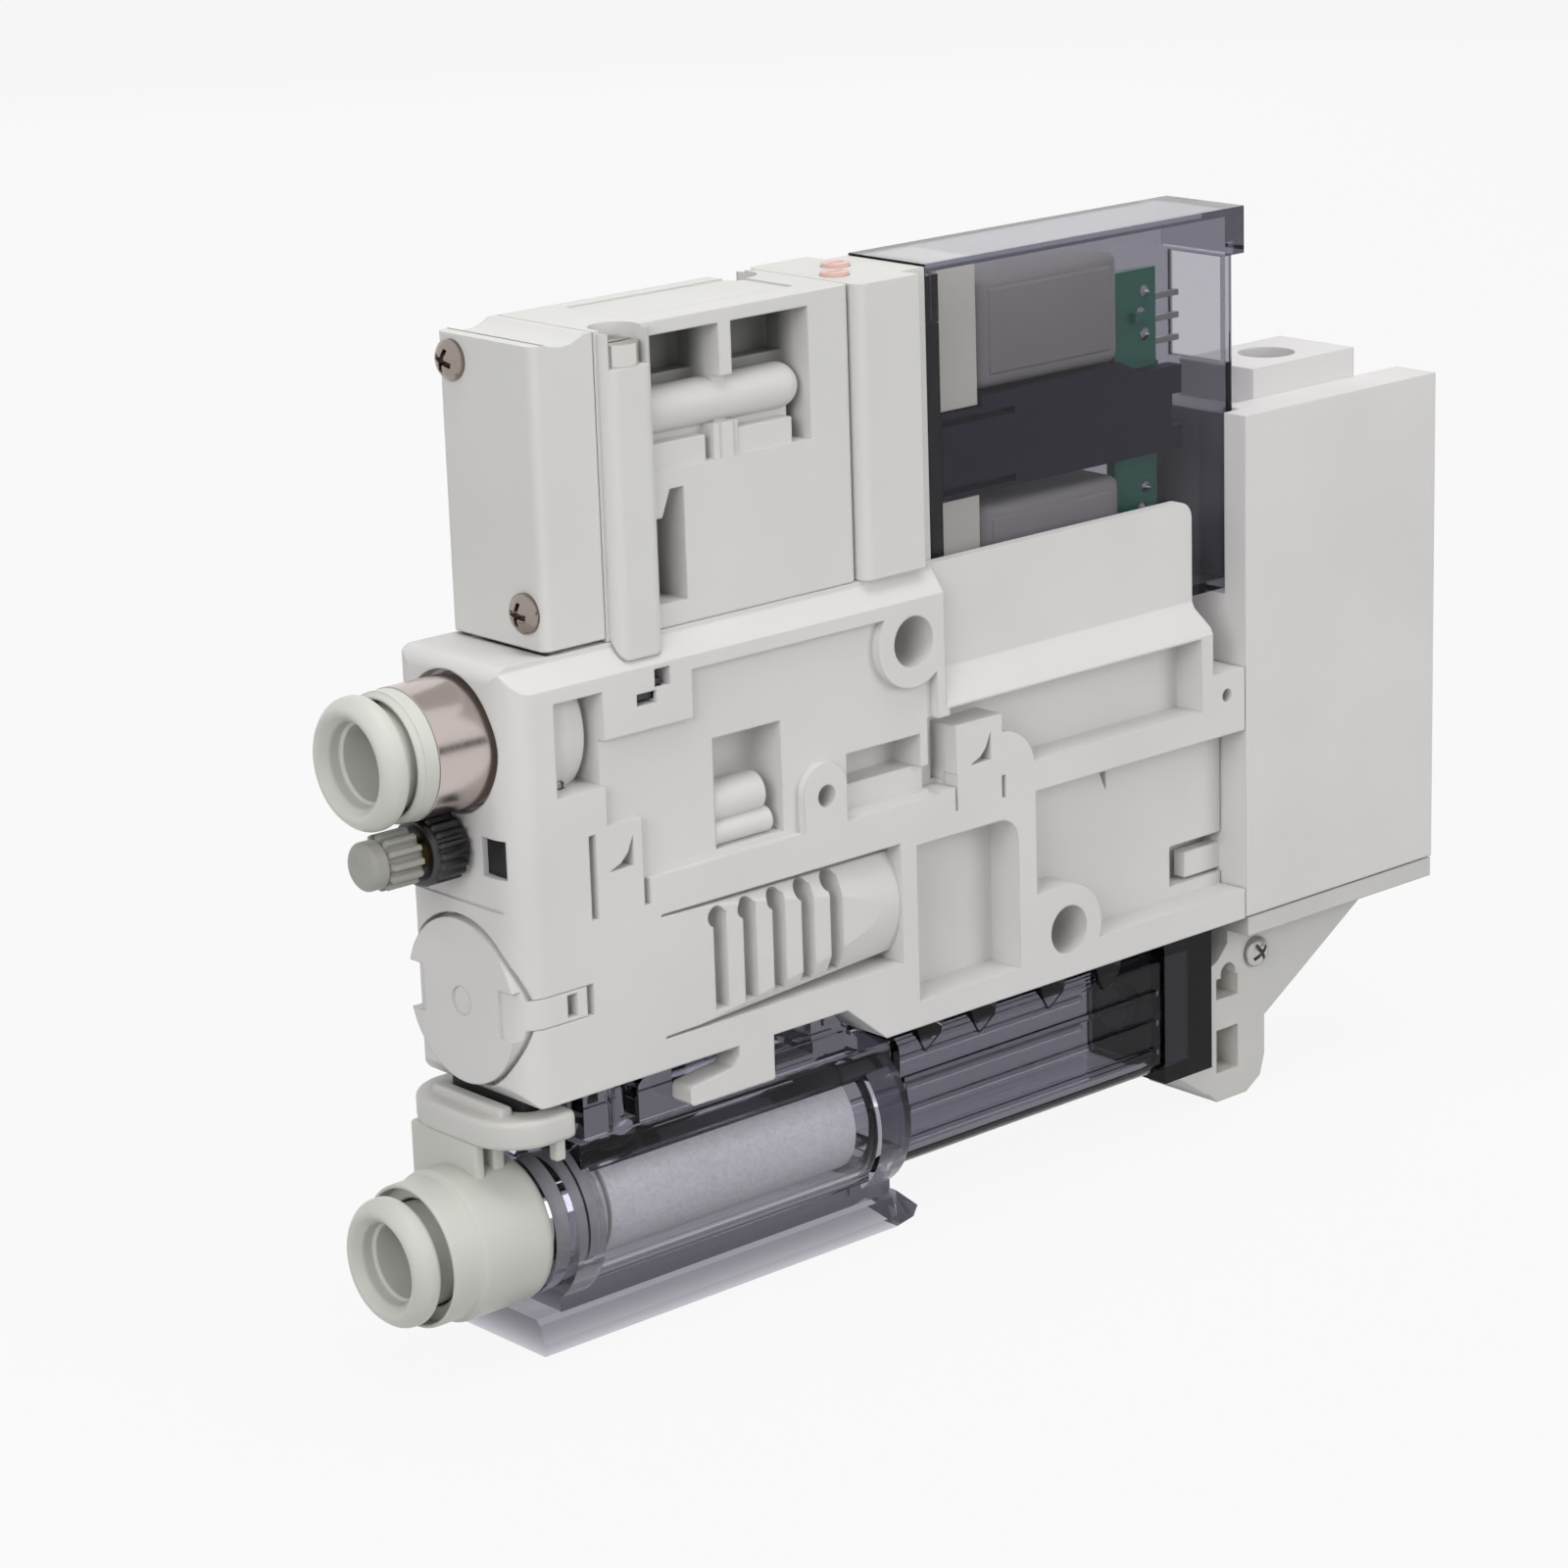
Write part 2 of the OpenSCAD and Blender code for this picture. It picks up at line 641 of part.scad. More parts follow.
module supply_tube_seal() {
    color("#3a3a3c") tube_seal(sleeve_in + 5.75, supply_z);
}

module supply_fitting_seal() {
    color("#3a3a3c") o_ring_x(3.75, sleeve_r - 0.5, 0.95, supply_z);
}

// Wire clip that locks the supply fitting: two legs joined by a bridge
module fitting_clip() {
    color("#b8bcc2") {
        for (y = [-clip_y, clip_y]) {
            translate([clip_x, y, supply_z - 5]) cylinder(h = body_top - 1 - supply_z + 5, r = clip_r);
            translate([clip_x, y, body_top - 1]) sphere(r = clip_r);
        }
        bar_y(clip_x, body_top - 1, clip_r, -clip_y, clip_y);
    }
}

module vacuum_port() {
    color("#e2e3df") difference() {
        union() {
            bar_x(port_x0 + 0.4, port_x1, port_r, vacuum_z);
            cone_x(port_x0, port_x0 + 0.4, port_r - 0.4, port_r, vacuum_z);
            bar_x(port_x1 - 1, port_x1 + 6.4, spigot_r, vacuum_z);
            // upright on which the clip sits
            block(-1.7, -0.7, -2.6, 6.1, vacuum_z, clip_z0 - 0.05);
        }
        bar_x(port_x0 - 1, port_x0 + 1.3, bush_r + 0.25, vacuum_z);
        // slot for the key of the clip
        block(key_x0 - gap, key_x0 + 1.2 + gap, -key_half - gap, key_half + gap, vacuum_z + 5.3, clip_z0);
        fitting_bore(port_x0, port_x1 + 7, vacuum_z);
        // groove for the O-ring
        difference() {
            bar_x(port_x1 + 3, port_x1 + 4.6, spigot_r + 1, vacuum_z);
            bar_x(port_x1 + 2, port_x1 + 5, spigot_r - 0.9, vacuum_z);
        }
    }
}

module vacuum_release_bush() {
    color("#e6e8e4") release_bush(vacuum_face, port_x0 + 4.3 - bush_stroke, vacuum_z);
}

module vacuum_collet() {
    color("#c8cacc") collet(port_x0 + 4.45, vacuum_z);
}

module vacuum_tube_seal() {
    color("#3a3a3c") tube_seal(port_x0 + 5.75, vacuum_z);
}

module vacuum_port_seal() {
    color("#3a3a3c") o_ring_x(port_x1 + 3.8, spigot_r - 0.43, 0.9, vacuum_z);
}

// White clip that locks the vacuum port: a plate bent round the port face, with
// a key that drops into the port
module port_clip() {
    color("#dad9d6") difference() {
        union() {
            translate([0, 0, clip_z0]) linear_extrude(clip_h)
                round_rect(-2.2, 5, -side + gap, side - gap, 1.8);
            // short feet on the arms, and the key that drops into the port
            both_sides() block(clip_leg_x, clip_leg_x + 1, -6.4, -5.4, clip_z0 - 2, clip_z0 + 1);
            block(key_x0, key_x0 + 1.2, -key_half, key_half, vacuum_z + 5.4, clip_z0 + 1);
        }
        // the plate is open behind the port face
        block(key_x0 + 1.2, 6, -4.9, 4.9, clip_z0 - 1, clip_z0 + clip_h + 1);
        // grip slot
        block(-3, -1.4, -0.6, 2.4, clip_z0 + 0.9, clip_z0 + 1.6);
    }
}

// ---------------------------------------------------------------- needle

// Knob with a smooth end, a dimple in its end face and ribs down to its skirt
module needle_knob() {
    color("#b9b8b2") difference() {
        union() {
            cone_x(-9.4, -9.1, knob_d / 2 - 0.5, knob_d / 2 - 0.25, needle_z);
            bar_x(-9.15, -7.9, knob_d / 2 - 0.25, needle_z);
            bar_x(-8, -4.3, knob_d / 2 - 0.5, needle_z);
            for (i = [0:knob_ribs - 1])
                translate([0, 0, needle_z]) rotate([i * 360 / knob_ribs, 0, 0])
                    block(-8, -4.4, -0.26, 0.26, knob_d / 2 - 0.9, knob_d / 2);
        }
        bar_x(-8.25, -3, stem_r + run, needle_z);
        bar_x(-10, -9.25, 0.7, needle_z);
    }
}

module needle() {
    color("#c9a866") {
        bar_x(-8.2, 11.4, stem_r, needle_z);
        cone_x(11.4, 13.6, stem_r, 0.45, needle_z);
    }
}

// Lock nut with a plain collar and a knurled skirt
module needle_lock_nut() {
    color("#3a3a3c") difference() {
        union() {
            bar_x(-4.1, -3.5, nut_r, needle_z);
            bar_x(-3.6, -0.3, nut_r - 0.45, needle_z);
            for (i = [0:17])
                translate([0, 0, needle_z]) rotate([i * 20, 0, 0])
                    block(-3.6, -0.7, -0.24, 0.24, nut_r - 0.8, nut_r);
        }
        bar_x(-5, 1, stem_r + run, needle_z);
    }
}

// ---------------------------------------------------------------- ejector cartridge

// Round plug with two arms that wrap round the corners of the body and snap into
// grooves on its sides
module end_plug() {
    color("#cfcecb") difference() {
        union() {
            bar_x(-0.3, 1.5, plug_d / 2, jet_z);
            bar_x(1.4, 5, collar_r, jet_z);
            both_sides() {
                block(0.4, 1.5, -side, 0, jet_z - arm_half, jet_z + arm_half);
                block(0.4, arm_x1, -side, -side + arm_t, jet_z - arm_half, jet_z + arm_half);
            }
        }
        for (s = [-1, 1]) {
            upright_edge(0, s * side, 1, -s, corner_r, jet_z - 2, jet_z + 2);
            block(arm_x1 - 2, arm_x1 - 1, s * side - 1.5, s * side + 1.5, jet_z - 0.95, jet_z + 0.95);
        }
        bar_x(-1, -0.05, 1.2, jet_z);
        difference() {
            bar_x(2.75, 3.95, jet_bore_r + 1, jet_z);
            bar_x(2, 5, jet_bore_r - 1.1, jet_z);
            both_sides() block(1, 6, -side - 1, -jet_bore_r, jet_z - 2, jet_z + 2);
        }
    }
}

module end_plug_seal() {
    color("#3a3a3c") o_ring_x(3.35, jet_bore_r - 0.52, 1, jet_z);
}

// Brass nozzle: a sealed collar and a slender tip with a diverging throat
module nozzle() {
    color("#c8a661") difference() {
        union() {
            bar_x(nozzle_x0, nozzle_x0 + 2.6, collar_r, jet_z);
            cone_x(nozzle_x0 + 2.5, nozzle_x0 + 4, 3, 1.9, jet_z);
            bar_x(nozzle_x0 + 4, nozzle_x1, 1.3, jet_z);
        }
        bar_x(nozzle_x0 - 1, nozzle_x0 + 2, 2.2, jet_z);
        cone_x(nozzle_x0 + 1.9, nozzle_x0 + 3.6, 2.2, nozzle_d / 2, jet_z);
        bar_x(nozzle_x0 + 3.5, nozzle_x1 - 2.5, nozzle_d / 2, jet_z);
        cone_x(nozzle_x1 - 2.6, nozzle_x1 + 0.1, nozzle_d / 2, nozzle_d / 2 + 0.2, jet_z);
    }
}

// Diffuser: bell mouth, mixing throat and a long cone that opens into the duct
module diffuser() {
    color("#bfc1bd") difference() {
        union() {
            bar_x(diffuser_x0, diffuser_x0 + 2.8, collar_r, jet_z);
            bar_x(diffuser_x0 + 2.7, jet_x1 - 3.2, diffuser_r, jet_z);
            bar_x(jet_x1 - 3.3, jet_x1 - 0.2, collar_r, jet_z);
        }
        cone_x(diffuser_x0 - 0.1, mixing_x0 + 0.1, 3.4, nozzle_d / 2 + 0.5, jet_z);
        bar_x(mixing_x0, mixing_x0 + mixing_l, nozzle_d / 2 + 0.5, jet_z);
        cone_x(mixing_x0 + mixing_l - 0.1, jet_x1, nozzle_d / 2 + 0.5, duct_bore_r, jet_z);
        difference() {
            bar_x(diffuser_x0 + 0.85, diffuser_x0 + 2.05, jet_bore_r + 1, jet_z);
            bar_x(diffuser_x0, diffuser_x0 + 2.8, jet_bore_r - 1.1, jet_z);
        }
    }
}

module diffuser_seal() {
    color("#3a3a3c") o_ring_x(diffuser_x0 + 1.45, jet_bore_r - 0.52, 1, jet_z);
}

// Porous sleeve behind the vent slots
module absorber_sleeve() {
    color("#8f8e84") difference() {
        bar_x(diffuser_x0 + 3.1, jet_x1 - 3.6, collar_r, jet_z);
        bar_x(diffuser_x0, jet_x1, diffuser_r + gap, jet_z);
    }
}

// Rubber umbrella in the suction passage
module check_valve() {
    color("#4a4a4c") translate([suction_x, 0, belly_z + 0.1]) difference() {
        union() {
            cylinder(h = 0.9, r1 = 3, r2 = 2.6);
            cylinder(h = 2.4, r = 1.1);
        }
        for (a = [0:90:270]) rotate([0, 0, a + 45]) translate([2, 0, -1]) cylinder(h = 4, r = 0.35);
    }
}

// ---------------------------------------------------------------- filter and duct

// Cross-section of the foot under the filter case
module foot_profile() {
    polygon([
        [-foot_w / 2, 0], [foot_w / 2, 0], [foot_w / 2, 1], [foot_w / 2 - 0.5, 2.6],
        [foot_w / 2 - 1, 3], [1 - foot_w / 2, 3], [0.5 - foot_w / 2, 2.6], [-foot_w / 2, 1]
    ]);
}

// Clear smoke-coloured filter case
module filter_case() {
    color("#55535f") difference() {
        union() {
            bar_x(filter_x0, filter_x1, filter_r, vacuum_z);
            bar_x(port_x1 + gap, filter_x0 + 0.1, port_r - 0.2, vacuum_z);
            bar_x(filter_x0, filter_x0 + 2.8, filter_r + 0.5, vacuum_z);
            bar_x(filter_x1 - 3.4, filter_x1, filter_r + 0.5, vacuum_z);
            along(foot_x0, filter_x1) foot_profile();
            along(filter_x0, filter_x1) rect(-foot_w / 2 + 0.9, foot_w / 2 - 0.9, 2.5, vacuum_z);
            // ribs along the lower flanks
            both_sides() block(filter_x0, filter_x1, -foot_w / 2 - 0.2, 0, vacuum_z - 4.8, vacuum_z - 4.2);
            // hooked tail of the foot
            across(-foot_w / 2, foot_w / 2) polygon([
                [filter_x1 - 0.1, 0], [filter_x1 + 1.9, 0.4], [filter_x1 + 2.4, 1.3], [filter_x1 - 0.1, 3.4]
            ]);
            // rail that carries the suction passage up to the body
            across(-4.9, 4.9) polygon([
                [7.7, vacuum_z + 5], [7.7, belly_z - 0.3], [rail_x1 - 3.5, belly_z - 0.3],
                [rail_x1, body_low - 0.3], [rail_x1, vacuum_z + 5]
            ]);
            // flange along the top, on which the hooks of the body rest
            block(filter_x0 + 2, filter_x1 - 0.4, -5.3, 5.3, vacuum_z + 4.6, body_low - 1.4);
            // pale ledges behind the hooks
            both_sides() block(28.1, 36, -5.3, -4, body_low - 0.7, body_low + 0.8);
        }
        // groove between the post and the round-shouldered wall
        both_sides() across(-6, -3.6) polygon([
            [12, body_low - 0.7], [13.1, body_low - 0.7], [13.1, body_low + 0.8],
            [13.6, body_low + 1.9], [14.5, body_low + 2.7], [16, body_low + 2.9],
            [16, belly_z + 1], [11.3, belly_z + 1]
        ]);
        bar_x(port_x1 - 1, filter_x1 + 1, spigot_r + gap, vacuum_z);
        bar_x(filter_x0 + 3.2, filter_x1 + 1, filter_r - 0.9, vacuum_z);
        translate([suction_x, 0, vacuum_z]) cylinder(h = rail_h + 1, r = 1.6);
        // groove for the O-ring
        translate([suction_x, 0, belly_z - 0.8]) difference() {
            cylinder(h = 2, r = 3.1);
            translate([0, 0, -1]) cylinder(h = 4, r = 2.1);
        }
        // pockets either side of the passage, which leave thin walls
        block(17.6, rail_x1 - 4.7, -3.8, 3.8, body_low - 0.6, belly_z + 1);
    }
}

// Pleated-looking cylindrical filter element
module filter_element() {
    color("#e9e8e4") difference() {
        bar_x(filter_x0 + 5.2, filter_x1 - 4.5, filter_r - 2, vacuum_z);
        bar_x(filter_x0, filter_x1, filter_r - 3.6, vacuum_z);
    }
}

module filter_case_seal() {
    color("#3a3a3c") translate([suction_x, 0, belly_z - 0.4])
        rotate_extrude() translate([2.6, 0]) circle(d = 0.75);
}

// Clear duct behind the filter case, leading to the sensor end
module suction_duct() {
    color("#4d4b58") difference() {
        union() {
            bar_x(filter_x1 - 3, filter_x1 + 1, filter_r - 1, vacuum_z);
            along(filter_x1 + joint_gap, duct_x1)
                round_rect(-duct_half, duct_half, duct_z0, duct_z1, 1.6);
            // ridges along both flanks
            for (z = [2.4, 5.2, 8])
                both_sides() block(filter_x1 + 1, end_x0 - 1, -duct_half - 0.45, -duct_half + 1,
                    duct_z0 + z, duct_z0 + z + 0.5);
            // end block and flange
            block(end_x0, duct_x1, -duct_half - 0.3, duct_half + 0.3, duct_z0 - 0.8, duct_z1 + 0.6);
            // catches along the top
            for (x = [2.5, 9, 17.5, 24.5])
                both_sides() across(-duct_half - 0.3, -duct_half + 1.4)
                    translate([filter_x1 + x, duct_z1]) polygon([
                        [0, 1], [3.6, 1], [3, -0.8], [1.2, -2], [0.6, -0.8]
                    ]);
        }
        bar_x(filter_x1 - 4, filter_x1 + 2, filter_r - 2, vacuum_z);
        along(filter_x1 + 1.4, end_x0 - 1)
            round_rect(-duct_half + 1, duct_half - 1, duct_z0 + 1, duct_z1 - 1, 0.8);
        block(end_x0 + 0.4, duct_x1 - 2.6, -duct_half + 0.6, duct_half - 0.6, duct_z0 + 0.6, duct_z1 - 1);
        bar_x(end_x0 - 5, end_x0 + 1, 2, stem_z);
    }
}

// Dark rubber plug that closes the duct
module duct_plug() {
    color("#1f1f24") union() {
        block(end_x0 + 0.6, duct_x1 - 2.7, -duct_half + 0.7, duct_half - 0.7, duct_z0 + 0.7, duct_z1 - 1.1);
        bar_x(end_x0 - 2, end_x0 + 0.7, 1.95, stem_z);
    }
}

// White bracket at the tail: a strip under the silencer case, a gusset and a
// foot that stands level with the filter case
module tail_bracket() {
    color("#dcdbd8") difference() {
        union() {
            across(-bracket_half, bracket_half) polygon([
                [bracket_x0, 4], [bracket_x0, 1.2], [body_l - 0.5, 0], [body_l + 3.5, 0],
                [bracket_x1 - 0.6, 1.2], [bracket_x1, 3.2], [bracket_x1, 7], [chamber_x1, strip_z0 - 1.1],
                [chamber_x1, strip_z0 + 0.2], [body_l + 1, strip_z0 + 0.2], [body_l + 1, strip_z0 - 1.5],
                [body_l - 0.3, screw_z + 0.2], [bracket_x0, screw_z - 0.4]
            ]);
            block(body_l + 0.5, plate_x1, -side + gap, side - gap, strip_z0, body_low - gap);
            // lip that reaches back under the duct
            across(-bracket_half, bracket_half) polygon([
                [bracket_x0 - 3.7, 3.6], [bracket_x0 + 0.1, 0.9], [bracket_x0 + 0.1, 3.8],
                [bracket_x0 - 3.7, 4]
            ]);
        }
        // keyhole window, square window and the hollow behind the gusset
        both_sides() translate([body_l, 0, vacuum_z]) {
            block(-0.5, 2.4, -bracket_half - 1, -bracket_half + 2.6, 0, 2);
            bar_y(1.1, 2.3, 1, -bracket_half - 1, -bracket_half + 2.6);
            block(-0.5, 2.4, -bracket_half - 1, -bracket_half + 2.6, -7.2, -3);
        }
        block(bracket_x1 + 1.5, chamber_x1 - 0.4, -bracket_half + 1.4, bracket_half - 1.4,
            5, strip_z0 - 0.9);
        bar_y(screw_x, screw_z, 0.75, -bracket_half - 1, bracket_half - 1);
    }
}

module bracket_screw() {
    color("#c9ccd0") difference() {
        union() {
            bar_y(screw_x, screw_z, 1.45, -bracket_half - 1, -bracket_half);
            bar_y(screw_x, screw_z, 0.7, -bracket_half - 0.5, bracket_half - 1.5);
        }
        translate([screw_x, 0, screw_z]) {
            block(-1.2, 1.2, -bracket_half - 2, -bracket_half - 0.5, -0.2, 0.2);
            block(-0.2, 0.2, -bracket_half - 2, -bracket_half - 0.5, -1.2, 1.2);
        }
    }
}

// ---------------------------------------------------------------- silencer

// Silencer case: a side plate, the chamber behind it and an outlet block on top
module silencer_case() {
    color("#d9d8d5") difference() {
        union() {
            block(plate_x0, plate_x1, -side, -side + plate_t, plate_z0, plate_top);
            block(plate_x0, chamber_x1, -side + plate_t - 1, side, plate_z0, plate_top - 0.6);
            block(stack_x0, chamber_x1, -side + plate_t, side - 1.2, plate_top - 1, stack_z1);
            // hook that locks into the body
            both_sides() block(plate_x0 - 4.6, plate_x0 + 1, -side + floor_d + 0.3, -2.8,
                belly_z + 0.6, belly_z + 3);
        }
        // chamber
        block(chamber_x0, chamber_x1 - chamber_wall - gap, -side + chamber_wall, side - chamber_wall,
            plate_z0 + 1.6, chamber_z1);
        bar_x(plate_x0 - 1, chamber_x0 + 1, duct_bore_r, jet_z);
        // rebate for the pilot cover
        block(plate_x0 - 1, cover_x1 + 0.35, -half_c - 0.25, half_c + 0.25, cover_z0 - 0.5, stack_z1);
        // outlet in the top block, and louvres at the tail
        translate([stack_x0 + 6.8, 1.8, chamber_z1 - 1]) cylinder(h = 8, r = 2.6);
        for (z = [plate_z0 + 6.3:4.6:plate_top - 7])
            block(chamber_x1 - 2, chamber_x1 + 1, -1.6, side - 2.3, z, z + 1.6);
    }
}

module silencer_element() {
    color("#efeeea")
        block(chamber_x0 + 0.3, chamber_x1 - chamber_wall - 0.4, -side + chamber_wall + 0.3,
            side - chamber_wall - 0.3, plate_z0 + 1.9, chamber_z1 - 2.6);
}

// ---------------------------------------------------------------- valve

// Upright pillar of a hold-down screw, with rounded outer edges; sy is its side
module pillar(x, sy) {
    translate([x, 0, body_top - 1.5]) mirror([0, sy > 0 ? 1 : 0, 0]) {
        translate([-pillar_half, -pillar_y + 1, 0]) cube([2 * pillar_half, 4, valve_h + 1.3]);
        translate([-pillar_half + 1, -pillar_y, 0]) cube([2 * pillar_half - 2, 2, valve_h + 1.3]);
        for (dx = [-1, 1])
            translate([dx * (pillar_half - 1), -pillar_y + 1, 0]) cylinder(h = valve_h + 1.3, r = 1);
    }
}

// Valve body with its windows, its spool bores and the pillars of its screws
module valve_body() {
    color("#d8d7d4") difference() {
        union() {
            block(cap_x1 + gap, valve_x1, -half_v, half_v, valve_z0, valve_z1);
            for (p = screw_at) pillar(p[0], p[1]);
        }
        // the pillars end on the shoulder of the manifold body
        both_sides() along(0, 60) polygon([
            [-side - 1, body_top - 8], [-side - 1, body_top - 3], [-side - gap, body_top - 2],
            [-half_v - run, valve_z0], [0, valve_z0], [0, body_top - 8]
        ]);
        for (s = [-1, 1]) upright_edge(valve_x1, s * half_v, -1, -s, 0.8, valve_z0 - 1, valve_z1 + 1);
        valve_windows();
        // screws and the notches for their heads
        for (p = screw_at) translate([p[0], p[1], 0]) {
            translate([0, 0, body_top - 8]) cylinder(h = 40, r = 1.05);
            translate([0, 0, head_z]) cylinder(h = 5, r = screw_head_r + gap);
            mirror([0, p[1] > 0 ? 1 : 0, 0]) translate([-screw_head_r - gap, -4, head_z])
                cube([2 * (screw_head_r + gap), 4, 5]);
        }
        // spool bores and the passages under them
        for (z = spool_z) bar_x(cap_x1 - 1, valve_x1 - 1.7, spool_r + run, z);
        for (x = passage_x)
            translate([x, 0, body_top - 8]) cylinder(h = spool_z[1] - body_top + 8, r = 0.8);
        translate([passage_x[2], 0, body_top + 2]) cylinder(h = spool_z[0] - body_top - 2, r = 0.8);
        // label recess on the top
        block(window_x0, valve_x1 - 3.3, -2.8, 4.4, valve_z1 - 0.15, valve_z1 + 1);
    }
}

// Windows, slot and slits on the sides of the valve body
module valve_windows() {
    both_sides() difference() {
        union() {
            block(window_x0, web_x0, -half_v - over, -half_v + 3.4, valve_z1 - 12, valve_z1 - 1.1);
            block(web_x1, window_x1, -half_v - over, -half_v + 3.4, valve_z1 - 12, valve_z1 - 1.1);
            block(web_x0 - 0.1, web_x1 + 0.1, -half_v - over, -half_v + 1, barrel_z - 1.7, barrel_z + 2.1);
            // the upper half runs deeper
            block(window_x0, web_x0, -half_v, -0.8, valve_z1 - 5, valve_z1 - 1.1);
            block(web_x1, window_x1, -half_v, -0.8, valve_z1 - 5, valve_z1 - 1.1);
        }
        // housing that lies across the windows
        bar_x(window_x0 - 1, window_x1 - 2, barrel_r, barrel_z, -half_v + barrel_r + 0.2);
        translate([window_x1 - 2, -half_v + barrel_r + 0.2, barrel_z]) sphere(r = barrel_r);
        // small block and lower ledges beside it
        block(web_x0 - 0.7, web_x1 + 0.6, -half_v + 0.2, 0, valve_z1 - 12.1, barrel_z - 1.7);
        block(window_x0 - 1, web_x0 - 1.5, -half_v + 0.3, 0, valve_z1 - 12.1, valve_z1 - 9.9);
        block(web_x1 + 0.5, window_x1 - 1.8, -half_v + 0.3, 0, valve_z1 - 12.1, valve_z1 - 9.9);
        block(window_x0 - 1, window_x1 - 1.2, -half_v + 1.6, 0, valve_z1 - 12.1, barrel_z - 1.7);
    }
    both_sides() difference() {
        block(window_x0, window_x0 + 2.9, -half_v - over, -half_v + 3.4, body_top + 2, body_top + 11.2);
        across(-half_v - 1, 0) translate([window_x0, body_top + 9])
            polygon([[-1, 0], [0.6, 0], [1.8, 3], [-1, 3]]);
    }
}

// End cap: its top sweeps up to the level of the valve body
module valve_end_cap() {
    color("#cfcecc") difference() {
        across(-half_v, half_v) difference() {
            rect(valve_x0, cap_x1, valve_z0 + 0.3, valve_z1);
            translate([valve_x0 + 3, valve_z1 + 3.4]) circle(r = 4.1);
            rect(valve_x0 - 1, valve_x0 + 1.2, valve_z1 - 0.35, valve_z1 + 1);
        }
        for (s = [-1, 1]) upright_edge(valve_x0, s * half_v, 1, -s, 0.8, valve_z0 - 1, valve_z1 + 1);
        // spring pockets
        for (z = spool_z) bar_x(spring_x0 - 0.2, cap_x1 + 1, spool_r, z);
        for (p = cap_screw_at) bar_x(valve_x0 - 1, cap_x1 + 1, 0.85, p[1], p[0]);
    }
}

// Two cross-recessed pan-head screws on the end cap
module end_cap_screws() {
    color("#a79a92") for (p = cap_screw_at) difference() {
        union() {
            cone_x(valve_x0 - 1.2, valve_x0 - 0.7, cap_head_r - 0.5, cap_head_r, p[1], p[0]);
            bar_x(valve_x0 - 0.75, valve_x0, cap_head_r, p[1], p[0]);
            bar_x(valve_x0 - 0.2, cap_x1, 0.8, p[1], p[0]);
        }
        translate([valve_x0, p[0], p[1]]) {
            block(-2, -0.4, -0.25, 0.25, -1.1, 1.1);
            block(-2, -0.4, -1.1, 1.1, -0.25, 0.25);
        }
    }
}

module valve_gasket() {
    color("#2e2e30") difference() {
        block(cap_x1 + 0.3, valve_x1 - 2.4, -3.9, 3.9, body_top - 0.5, body_top);
        for (x = passage_x) translate([x, 0, body_top - 2]) cylinder(h = 4, r = 1.1);
        translate([passage_x[2], 2.4, body_top - 2]) cylinder(h = 4, r = 1.1);
    }
}

// Slotted cheese-head screws that hold the valve down
module valve_screws() {
    color("#d9dadc") for (p = screw_at) translate([p[0], p[1], 0]) difference() {
        union() {
            translate([0, 0, head_z]) cylinder(h = 1.8, r = screw_head_r);
            translate([0, 0, nut_z0 - 1.4]) cylinder(h = head_z - nut_z0 + 1.5, r = 0.95);
        }
        translate([-2.5, -0.25, head_z + 1]) cube([5, 0.5, 2]);
    }
}

module valve_screw_nuts() {
    color("#c4c6c9") for (p = screw_at) translate([p[0], p[1], nut_z0]) difference() {
        translate([-nut_half, -nut_half, 0]) cube([2 * nut_half, 2 * nut_half, 1.5]);
        translate([0, 0, -1]) cylinder(h = 4, r = 1);
    }
}

// Spool with three lands
module spool(z) {
    for (x = [spool_x0, spool_x0 + 7.4, spool_x1 - land_l]) bar_x(x, x + land_l, spool_r, z);
    bar_x(spool_x0 + 0.5, spool_x1 - 0.6, spool_r - 0.7, z);
}

module supply_spool() {
    color("#b7b9bc") spool(spool_z[0]);
}

module release_spool() {
    color("#b7b9bc") spool(spool_z[1]);
}

// Wire section of a helical spring, seen along its axis: a point on the round
// wire at angle t is spread over the share of a turn that the wire takes up
function wire_point(t, r, wire, pitch) =
    let (a = wire / pitch * 180 * sin(t), d = r + wire / 2 * cos(t)) [d * cos(a), d * sin(a)];

// Compression spring along X
module spring(x0, x1, r, wire, turns, z) {
    pitch = (x1 - x0) / turns;
    translate([x0, 0, z]) rotate([0, 90, 0])
        linear_extrude(x1 - x0, twist = -360 * turns, slices = 16 * turns, $fn = 6)
            polygon([for (t = [0:45:315]) wire_point(t, r, wire, pitch)]);
}

module supply_spring() {
    color("#9da0a4") spring(spring_x0, spool_x0 - gap, spool_r - 0.45, 0.4, spring_turns, spool_z[0]);
}

module release_spring() {
    color("#9da0a4") spring(spring_x0, spool_x0 - gap, spool_r - 0.45, 0.4, spring_turns, spool_z[1]);
}

// Adapter block between the valve body and the pilot group
module pilot_adapter() {
    color("#d8d7d4") difference() {
        union() {
            block(valve_x1 + gap, block_x1, -block_half, block_half, valve_z0, valve_z1);
            block(block_x1 - 1, neck_x1, -half_c, half_c, valve_z0, valve_z1);
            block(flange_x0, neck_x1, -half_c, half_c, cover_z0 + 0.4, valve_z0 + 1);
        }
        for (s = [-1, 1])
            upright_edge(valve_x1 + gap, s * block_half, 1, -s, 0.9, valve_z0 - 1, valve_z1 + 1);
        for (p = override_at) translate([p[0], p[1], valve_z1 - 3]) cylinder(h = 5, r = override_r + run);
        for (z = pilot_port_z) bar_x(valve_x1 - 1, neck_x1 + 1, 0.7, z);
    }
}

